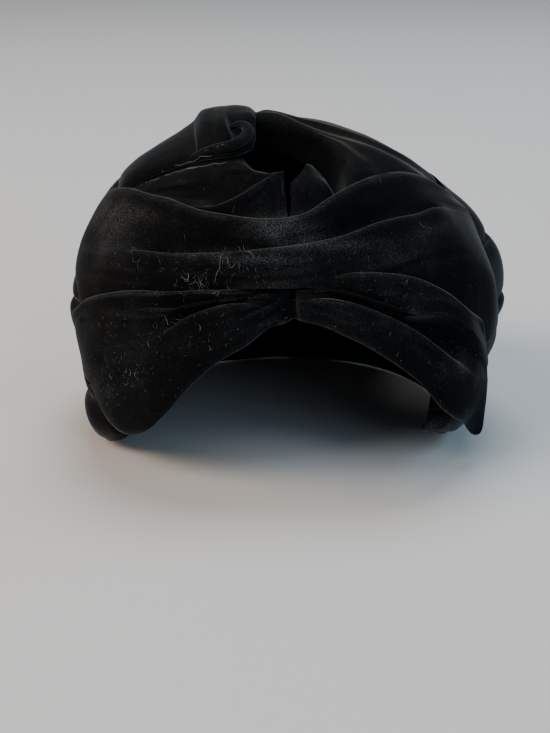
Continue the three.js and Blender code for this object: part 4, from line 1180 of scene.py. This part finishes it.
def wrap_grid():
    """The back wrap: rolls whose lips face up, each with a hidden turn behind it."""
    first, last = WRAP_HEIGHTS[0][0], WRAP_HEIGHTS[-1][0]
    azimuth = np.linspace(first, last, WRAP_SECTIONS + 1)
    folded = smooth_step(np.minimum(azimuth - first, last - azimuth) / WRAP_OPENING)
    columns = range(1, len(WRAP_BULGES) + 2)
    heights = [read_table(WRAP_HEIGHTS, azimuth, column) for column in columns]
    stands = [read_table(WRAP_STANDS, azimuth, column) for column in columns]
    hem = END_HEM + (1 - END_HEM) * folded
    guides = [(heights[0] + up * hem, stands[0] - inward * hem) for up, inward in RIM_HEM]
    for roll, bulge in enumerate(WRAP_BULGES):
        low, high = heights[roll : roll + 2]
        inner, outer = stands[roll : roll + 2]
        bulge = bulge * (END_BULGE + (1 - END_BULGE) * folded)
        for share, rise, swell in ROLL_PROFILE if roll else LOWEST_PROFILE:
            height = low + (high - low) * share + rise
            guides.append((height, inner + (outer - inner) * share + bulge * swell))
        for k, (up, out) in enumerate(ROLL_TURN):
            flat_up = FLAT_TURN_STEP * (k + 1)
            guides.append((high + flat_up + (up - flat_up) * folded, outer + out * folded))
    around = dome_point(azimuth, np.full_like(azimuth, WAIST_HEIGHT))
    points = []
    for k, (height, stand) in enumerate(guides):
        # A roll's valley wanders with the roll below it.
        roll = max(0, (k - len(RIM_HEM) - 1) // (len(ROLL_PROFILE) + len(ROLL_TURN)))
        wander = soft_noise(around, WRAP_WANDER_LENGTH, WRAP_WANDER_SEED + roll) * WRAP_WANDER
        height = height + wander * smooth_step(height / WRAP_STEADY_FOOT)
        points.append(level_off(azimuth, np.maximum(height, LEAST_HEIGHT), stand))
    points = np.stack(points, axis=1)
    return through(points, even_steps(points, WRAP_COARSENESS * spacing()))


def swath_points(rows):
    """Points of a swath's table, whose cells are (x, y, stand) in plan."""
    return plan_off(*np.moveaxis(np.array(rows, float), -1, 0))


def roll_grid(path):
    """A rolled edge along a plan path, open underneath, as (sections, around, 3)."""
    stations = np.linspace(0, len(path) - 1, CURL_SECTIONS)
    rows = [(float(k), *row) for k, row in enumerate(path)]
    x, y, stand, width, height = (read_table(rows, stations, column) for column in range(1, 6))
    middle = plan_off(x, y, stand)
    outward = unit(plan_off(x, y, stand + 1) - middle)
    forward = unit(np.gradient(middle, axis=0))
    sideways = unit(np.cross(forward, outward))
    angle = np.radians(np.linspace(-CURL_REACH, CURL_REACH, CURL_AROUND))
    side = sideways[:, None] * (np.sin(angle) * width[:, None])[..., None]
    rise = outward[:, None] * (np.cos(angle) * height[:, None])[..., None]
    return middle[:, None] + side + rise


# ------------------------------------------------------------------ threads on the cloth


def skin_tree():
    """A tree to cast rays at the cloth pieces with."""
    corners, faces = [], []
    for piece in bpy.data.objects:
        if piece.name.startswith("velvet_"):
            mesh = piece.data
            start = len(corners)
            points = np.empty(len(mesh.vertices) * 3, np.float32)
            mesh.vertices.foreach_get("co", points)
            corners.extend(points.reshape(-1, 3).tolist())
            loops = np.empty(len(mesh.loops), np.int32)
            mesh.loops.foreach_get("vertex_index", loops)
            faces.extend((loops.reshape(-1, 4) + start).tolist())
    return BVHTree.FromPolygons(corners, faces)


def lifted(place, normal, lift):
    """A place in the frame, lifted off the cloth, in millimetres about the dome."""
    return (np.array(place) + np.array(normal) * lift * MM) / MM - OUTLINE_SHIFT


def on_cloth(tree, azimuth, level, lift):
    """The place on the outside of the cloth at an azimuth and a height, lifted off it, or None."""
    outward = dome_normal(azimuth, level)
    start = Vector(to_frame(dome_point(azimuth, level) + outward * CAST_REACH))
    place, normal, _, _ = tree.ray_cast(start, Vector(-outward), (CAST_REACH + DEEPEST_CLOTH) * MM)
    return None if place is None else lifted(place, normal, lift)


def on_crown(tree, x, y, lift):
    """The place on top of the crown at a plan position, lifted off it (millimetres)."""
    start = to_frame((x, y, CREST_HEIGHT + CAST_REACH))
    place, normal, _, _ = tree.ray_cast(Vector(start), Vector((0, 0, -1)))
    if place is None:
        raise RuntimeError(f"no cloth at plan position {x}, {y}")
    return lifted(place, normal, lift)


def tubes_object(name, paths, radii):
    """One object of thin threads: paths are lists of points in millimetres, each with its radius."""
    corners, faces = [], []
    for path, radius in zip(paths, radii):
        path = np.array(path, float)
        forward = unit(np.gradient(path, axis=0))
        side = unit(np.cross(forward, UNLIKE_ANY_THREAD))
        rise = np.cross(side, forward)
        from_tip = np.minimum(np.arange(len(path)), np.arange(len(path))[::-1])
        taper = np.minimum(1, TIP_WIDTH + from_tip * TIP_GROWTH)
        rings = len(corners) + np.arange(len(path) * THREAD_SIDES).reshape(-1, THREAD_SIDES)
        for k, point in enumerate(path):
            for turn in range(THREAD_SIDES):
                angle = 2 * math.pi * turn / THREAD_SIDES
                arm = side[k] * math.cos(angle) + rise[k] * math.sin(angle)
                corners.append(to_frame(point + arm * radius * taper[k]).tolist())
        following = np.roll(rings, -1, axis=1)
        walls = np.stack([rings[:-1], following[:-1], following[1:], rings[1:]], -1)
        faces += [*walls.reshape(-1, 4).tolist(), rings[0, ::-1].tolist(), rings[-1].tolist()]
    mesh = bpy.data.meshes.new(name)
    mesh.from_pydata(corners, [], faces)
    return linked_object(name, mesh)


def finish_threads(name, paths, radii, material, colour):
    """A piece of threads or fibres, which stands for no node."""
    piece = tubes_object(name, paths, radii)
    piece.data.materials.append(named_material(material, plain(colour, THREAD_GLOSS)))
    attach(piece, BODY)


def bent_line(line):
    """A plan line's points, and how far along it each of them is."""
    line = np.array(line, float)
    return line, np.concatenate([[0], np.linalg.norm(np.diff(line, axis=0), axis=1).cumsum()])


def along_line(line, places, at):
    return np.array([np.interp(at, places, line[:, axis]) for axis in (0, 1)])


# ------------------------------------------------------------------ operators


class HAT_OT_upper_drape(bpy.types.Operator):
    """Upper band of the drape, with its long fold and wavy top lip"""

    bl_idname = "hat.upper_drape"
    bl_label = "Upper Drape"

    def execute(self, context):
        grid = draped_band(UPPER_LINES, UPPER_EXTENT, UPPER_CREASES, seed=11, ends=END_SHARE)
        finish_cloth("velvet_upper_drape", grid, ["upper_drape"])
        return {"FINISHED"}


class HAT_OT_wing_drape(bpy.types.Operator):
    """The two wings, gathered to the waist at the centre"""

    bl_idname = "hat.wing_drape"
    bl_label = "Wing Drape"

    def execute(self, context):
        grid = draped_band(WING_LINES, WING_EXTENT, WING_CREASES, seed=12, ends=END_SHARE)
        finish_cloth("velvet_wing_drape", grid, ["wing_drape"])
        return {"FINISHED"}


class HAT_OT_back_wrap(bpy.types.Operator):
    """The wrap of horizontal rolls round the far half"""

    bl_idname = "hat.back_wrap"
    bl_label = "Back Wrap"

    def execute(self, context):
        finish_cloth("velvet_back_wrap", draped(wrap_grid(), seed=13), ["back_wrap"])
        return {"FINISHED"}


class HAT_OT_crown_panels(bpy.types.Operator):
    """The two gathered panels between the drape's lip and the opening"""

    bl_idname = "hat.crown_panels"
    bl_label = "Crown Panels"

    def execute(self, context):
        left = draped_band(LEFT_PANEL_LINES, LEFT_PANEL_EXTENT, PANEL_CREASES, seed=14)
        finish_cloth("velvet_panel_left", left, ["crown_panel_left"])
        right = draped_band(RIGHT_PANEL_LINES, RIGHT_PANEL_EXTENT, PANEL_CREASES, seed=15)
        finish_cloth("velvet_panel_right", right, ["crown_panel_right"])
        return {"FINISHED"}


class HAT_OT_crown_far_layer(bpy.types.Operator):
    """The layer that closes the crown at the far side"""

    bl_idname = "hat.crown_far_layer"
    bl_label = "Far Crown Layer"

    def execute(self, context):
        grid = draped_band(FAR_LINES, FAR_EXTENT, (), seed=16, place=crown_off)
        finish_cloth("velvet_far_layer", grid, ["crown_far_layer"])
        return {"FINISHED"}


class HAT_OT_crown_swaths(bpy.types.Operator):
    """The two swaths that rise to the top from either side"""

    bl_idname = "hat.crown_swaths"
    bl_label = "Crown Swaths"

    def execute(self, context):
        face = swath_points(RIGHT_SWATH)
        foot = np.array(RIGHT_INNER_FACE, float)
        foot[:, 2] = face[:, -1, 2] - foot[:, 2]
        net = np.concatenate([face, foot[:, None]], axis=1)
        right = net_grid(net, RIGHT_SWATH_STEPS, spacing())
        finish_cloth("velvet_swath_right", draped(right, seed=17), ["crown_swath_right"])
        left = net_grid(swath_points(LEFT_SWATH), LEFT_SWATH_STEPS, spacing())[::-1]
        finish_cloth("velvet_swath_left", draped(left, seed=18), ["crown_swath_left"])
        return {"FINISHED"}


class HAT_OT_curl(bpy.types.Operator):
    """The rolled edge that curls round the hollow at the top"""

    bl_idname = "hat.curl"
    bl_label = "Curl"

    def execute(self, context):
        grid = roll_grid(CURL)[:, ::-1]
        finish_cloth("velvet_curl", draped(grid, seed=19), [])
        return {"FINISHED"}


class HAT_OT_stitching(bpy.types.Operator):
    """Hand stitches along the crown seam, a loose thread and the frayed cut ends"""

    bl_idname = "hat.stitching"
    bl_label = "Stitching"

    def execute(self, context):
        tree = skin_tree()
        rng = np.random.default_rng(context.scene.hat_lint.seed + 1)
        paths = self.stitches(tree, rng, SEAM_LINE, SEAM_PITCH)
        paths += self.stitches(tree, rng, SECOND_SEAM_LINE, SECOND_SEAM_PITCH)
        paths += [self.run(tree, rng, SEAM_LINE, *span) for span in THREAD_RUNS]
        radii = [rng.uniform(*STITCH_RADII) for _ in paths]
        finish_threads("seam_stitches", paths, radii, "seam_thread", SEAM_COLOUR)
        paths = self.frayed_end(tree, rng)
        paths.append([on_cloth(tree, azimuth, level, LOOSE_LIFT) for azimuth, level in LOOSE_THREAD])
        radii = [rng.uniform(*FRAYED_RADII) for _ in paths]
        finish_threads("frayed_threads", paths, radii, "black_thread", FRAY_COLOUR)
        return {"FINISHED"}

    def stitches(self, tree, rng, line, pitch):
        """Slanting stitches along a plan line, each sunk into the cloth at both ends."""
        line, places = bent_line(line)
        made = []
        at = SEAM_START
        while at < places[-1] - pitch:
            ends = []
            for end in (at, at + pitch * rng.uniform(*STITCH_LENGTHS)):
                ends.append(along_line(line, places, end) + rng.normal(0, STITCH_SCATTER))
            path = []
            for share in STITCH_SHARES:
                lift = -STITCH_DEPTH + STITCH_ARCH * math.sin(math.pi * share)
                path.append(on_crown(tree, *(ends[0] + (ends[1] - ends[0]) * share), lift))
            if np.ptp([point[2] for point in path]) < DEEPEST_STITCH:
                made.append(path)
            at += pitch * rng.uniform(*STITCH_STEPS)
        return made

    def run(self, tree, rng, line, start, end, behind):
        """A thread laid along part of a plan line."""
        line, places = bent_line(line)
        path = []
        for at in np.arange(start * places[-1], end * places[-1], RUN_STEP):
            x, y = along_line(line, places, at)
            swing = RUN_SWING * math.sin(at * RUN_SWING_RATE + RUN_SWING_START * start)
            waver = behind + swing + rng.normal(0, RUN_WAVER)
            point = on_crown(tree, x, y + waver, RUN_LIFT)
            if not path or abs(point[2] - path[-1][2]) < DEEPEST_STITCH:
                path.append(point)
        return path

    def frayed_end(self, tree, rng):
        """Threads that hang from the wrap's cut end."""
        made = []
        for _ in range(FRAYED_THREADS):
            azimuth = FRAYED_END[0] + abs(rng.normal(0, FRAYED_SPREAD[0]))
            level = FRAYED_END[1] + rng.normal(0, FRAYED_SPREAD[1])
            point = on_cloth(tree, azimuth, level, FIBRE_LIFT)
            if point is None:
                continue
            heading = np.array((rng.normal(0, FRAYED_SIDEWAYS), *FRAYED_HEADING))
            path = [point]
            for _ in range(FRAYED_SEGMENTS):
                point = point + unit(heading) * rng.uniform(*FRAYED_STEPS)
                point[2] = max(point[2], LEAST_HEIGHT)
                heading = heading + rng.normal(0, FRAYED_WAVER, 3)
                path.append(point)
            made.append(path)
        return made


class HAT_OT_lint(bpy.types.Operator):
    """Lint on the front: long curled fibres, short ones and specks of dust"""

    bl_idname = "hat.lint"
    bl_label = "Lint"

    def execute(self, context):
        lint = context.scene.hat_lint
        tree = skin_tree()
        rng = np.random.default_rng(lint.seed)
        paths, radii = [], []
        for fibre in LONG_FIBRES:
            paths.append(self.fibre(tree, rng, *fibre))
            radii.append(rng.uniform(*FIBRE_RADII))
        for k in range(lint.short_fibres):
            azimuth, level, wide, high = LINT_TUFTS[k % len(LINT_TUFTS)]
            azimuth, level = rng.normal(azimuth, wide), rng.normal(level, high)
            heading, length = rng.uniform(0, 360), rng.uniform(*SHORT_FIBRE_LENGTHS)
            curl = rng.normal(0, SHORT_FIBRE_CURL)
            paths.append(self.fibre(tree, rng, azimuth, level, heading, length, curl))
            radii.append(rng.uniform(*SHORT_FIBRE_RADII))
        kept = [k for k, path in enumerate(paths) if len(path) > 2]
        paths, radii = [paths[k] for k in kept], [radii[k] for k in kept]
        finish_threads("lint_fibres", paths, radii, "lint", LINT_COLOUR)

        places = [(azimuth, level, CRUMB_SIZE) for azimuth, level in CRUMBS]
        for _ in range(lint.specks):
            azimuth, level = rng.uniform(-180, 180), rng.uniform(*SPECK_HEIGHTS)
            places.append((azimuth, level, rng.uniform(*SPECK_SIZES)))
        paths, radii = [], []
        for azimuth, level, size in places:
            middle = on_cloth(tree, azimuth, level, SPECK_LIFT)
            if middle is not None:
                reach = unit(rng.normal(size=3)) * size
                paths.append([middle - reach, middle, middle + reach])
                radii.append(size)
        finish_threads("lint_specks", paths, radii, "dust", DUST_COLOUR)
        return {"FINISHED"}

    def fibre(self, tree, rng, azimuth, level, heading, length, curl):
        """Points along a curled fibre that lies on the cloth, cut off where the cloth ends."""
        count = max(FEWEST_FIBRE_POINTS, int(length * FIBRE_POINTS))
        step = length / (count - 1)
        heading = math.radians(heading)
        points = []
        for k in range(count):
            arch = FIBRE_ARCH * math.sin(math.pi * k / (count - 1)) * rng.uniform(*FIBRE_ARCHES)
            point = on_cloth(tree, azimuth, level, FIBRE_LIFT + arch)
            if point is None:
                break
            if points and np.linalg.norm(point - points[-1]) > LONGEST_JUMP * step:
                break
            points.append(point)
            azimuth += step * math.cos(heading) / AZIMUTH_WIDTH
            level += step * math.sin(heading)
            heading += math.radians(curl) * step + rng.normal(0, FIBRE_WAVER)
        return points


class HAT_OT_stage(bpy.types.Operator):
    """Plain pale floor, soft studio light and the camera"""

    bl_idname = "hat.stage"
    bl_label = "Stage"

    def execute(self, context):
        stage = context.scene.hat_stage
        bpy.ops.object.select_all(action="DESELECT")
        bpy.ops.mesh.primitive_plane_add(size=FLOOR_SIZE, location=(0, 0, 0))
        floor = context.active_object
        floor.name = "floor"
        floor.data.materials.append(named_material("pale_floor", plain(stage.floor, FLOOR_GLOSS)))
        self.add_lights(context)
        self.add_camera(context, stage)
        return {"FINISHED"}

    def add_lights(self, context):
        for name, place, size, watts, colour in LIGHTS:
            data = bpy.data.lights.new(name, "AREA")
            data.shape = "DISK"
            data.size = size
            data.energy = watts
            data.color = colour
            lamp = bpy.data.objects.new(name, data)
            context.scene.collection.objects.link(lamp)
            lamp.location = place
            back = Vector(place) - Vector(LIGHTS_AIM)
            lamp.rotation_euler = back.to_track_quat("Z", "Y").to_euler()
        world = bpy.data.worlds.new("studio")
        world.use_nodes = True
        sky = {"Color": SKY_COLOUR, "Strength": SKY_STRENGTH}
        feed(world.node_tree.nodes["Background"], sky)
        context.scene.world = world

    def add_camera(self, context, stage):
        data = bpy.data.cameras.new("camera")
        camera = bpy.data.objects.new("camera", data)
        context.scene.collection.objects.link(camera)
        back = Vector((0, -math.cos(stage.elevation), math.sin(stage.elevation)))
        camera.location = Vector(stage.target) + back * stage.distance
        camera.rotation_euler = back.to_track_quat("Z", "Y").to_euler()
        data.lens = stage.lens
        data.clip_end = FARTHEST_SEEN
        context.scene.camera = camera


# ------------------------------------------------------------------ panel and registration


class HAT_PT_sidebar(bpy.types.Panel):
    """Lists the hat's sizes, colours and pieces"""

    bl_idname = "HAT_PT_sidebar"
    bl_label = "Draped Hat"
    bl_space_type = "VIEW_3D"
    bl_region_type = "UI"
    bl_category = "Hat"

    def draw(self, context):
        layout = self.layout
        for pointer, settings in SETTINGS.items():
            box = layout.box()
            for name in settings.__annotations__:
                box.prop(getattr(context.scene, pointer), name)
        for operator in OPERATORS:
            layout.operator(operator.bl_idname)


OPERATORS = (
    HAT_OT_upper_drape,
    HAT_OT_wing_drape,
    HAT_OT_back_wrap,
    HAT_OT_crown_panels,
    HAT_OT_crown_far_layer,
    HAT_OT_crown_swaths,
    HAT_OT_curl,
    HAT_OT_stitching,
    HAT_OT_lint,
    HAT_OT_stage,
)
SETTINGS = {
    "hat_velvet": VelvetSettings,
    "hat_drape": DrapeSettings,
    "hat_lint": LintSettings,
    "hat_stage": StageSettings,
}
CLASSES = (*SETTINGS.values(), *OPERATORS, HAT_PT_sidebar)


def register():
    for cls in CLASSES:
        bpy.utils.register_class(cls)
    for pointer, settings in SETTINGS.items():
        setattr(bpy.types.Scene, pointer, bpy.props.PointerProperty(type=settings))


def unregister():
    for pointer in SETTINGS:
        delattr(bpy.types.Scene, pointer)
    for cls in reversed(CLASSES):
        bpy.utils.unregister_class(cls)


def main():
    register()
    bpy.ops.hat.upper_drape()
    bpy.ops.hat.wing_drape()
    bpy.ops.hat.back_wrap()
    bpy.ops.hat.crown_panels()
    bpy.ops.hat.crown_far_layer()
    bpy.ops.hat.crown_swaths()
    bpy.ops.hat.curl()
    bpy.ops.hat.stitching()
    bpy.ops.hat.lint()
    bpy.ops.hat.stage()


if __name__ == "__main__":
    main()
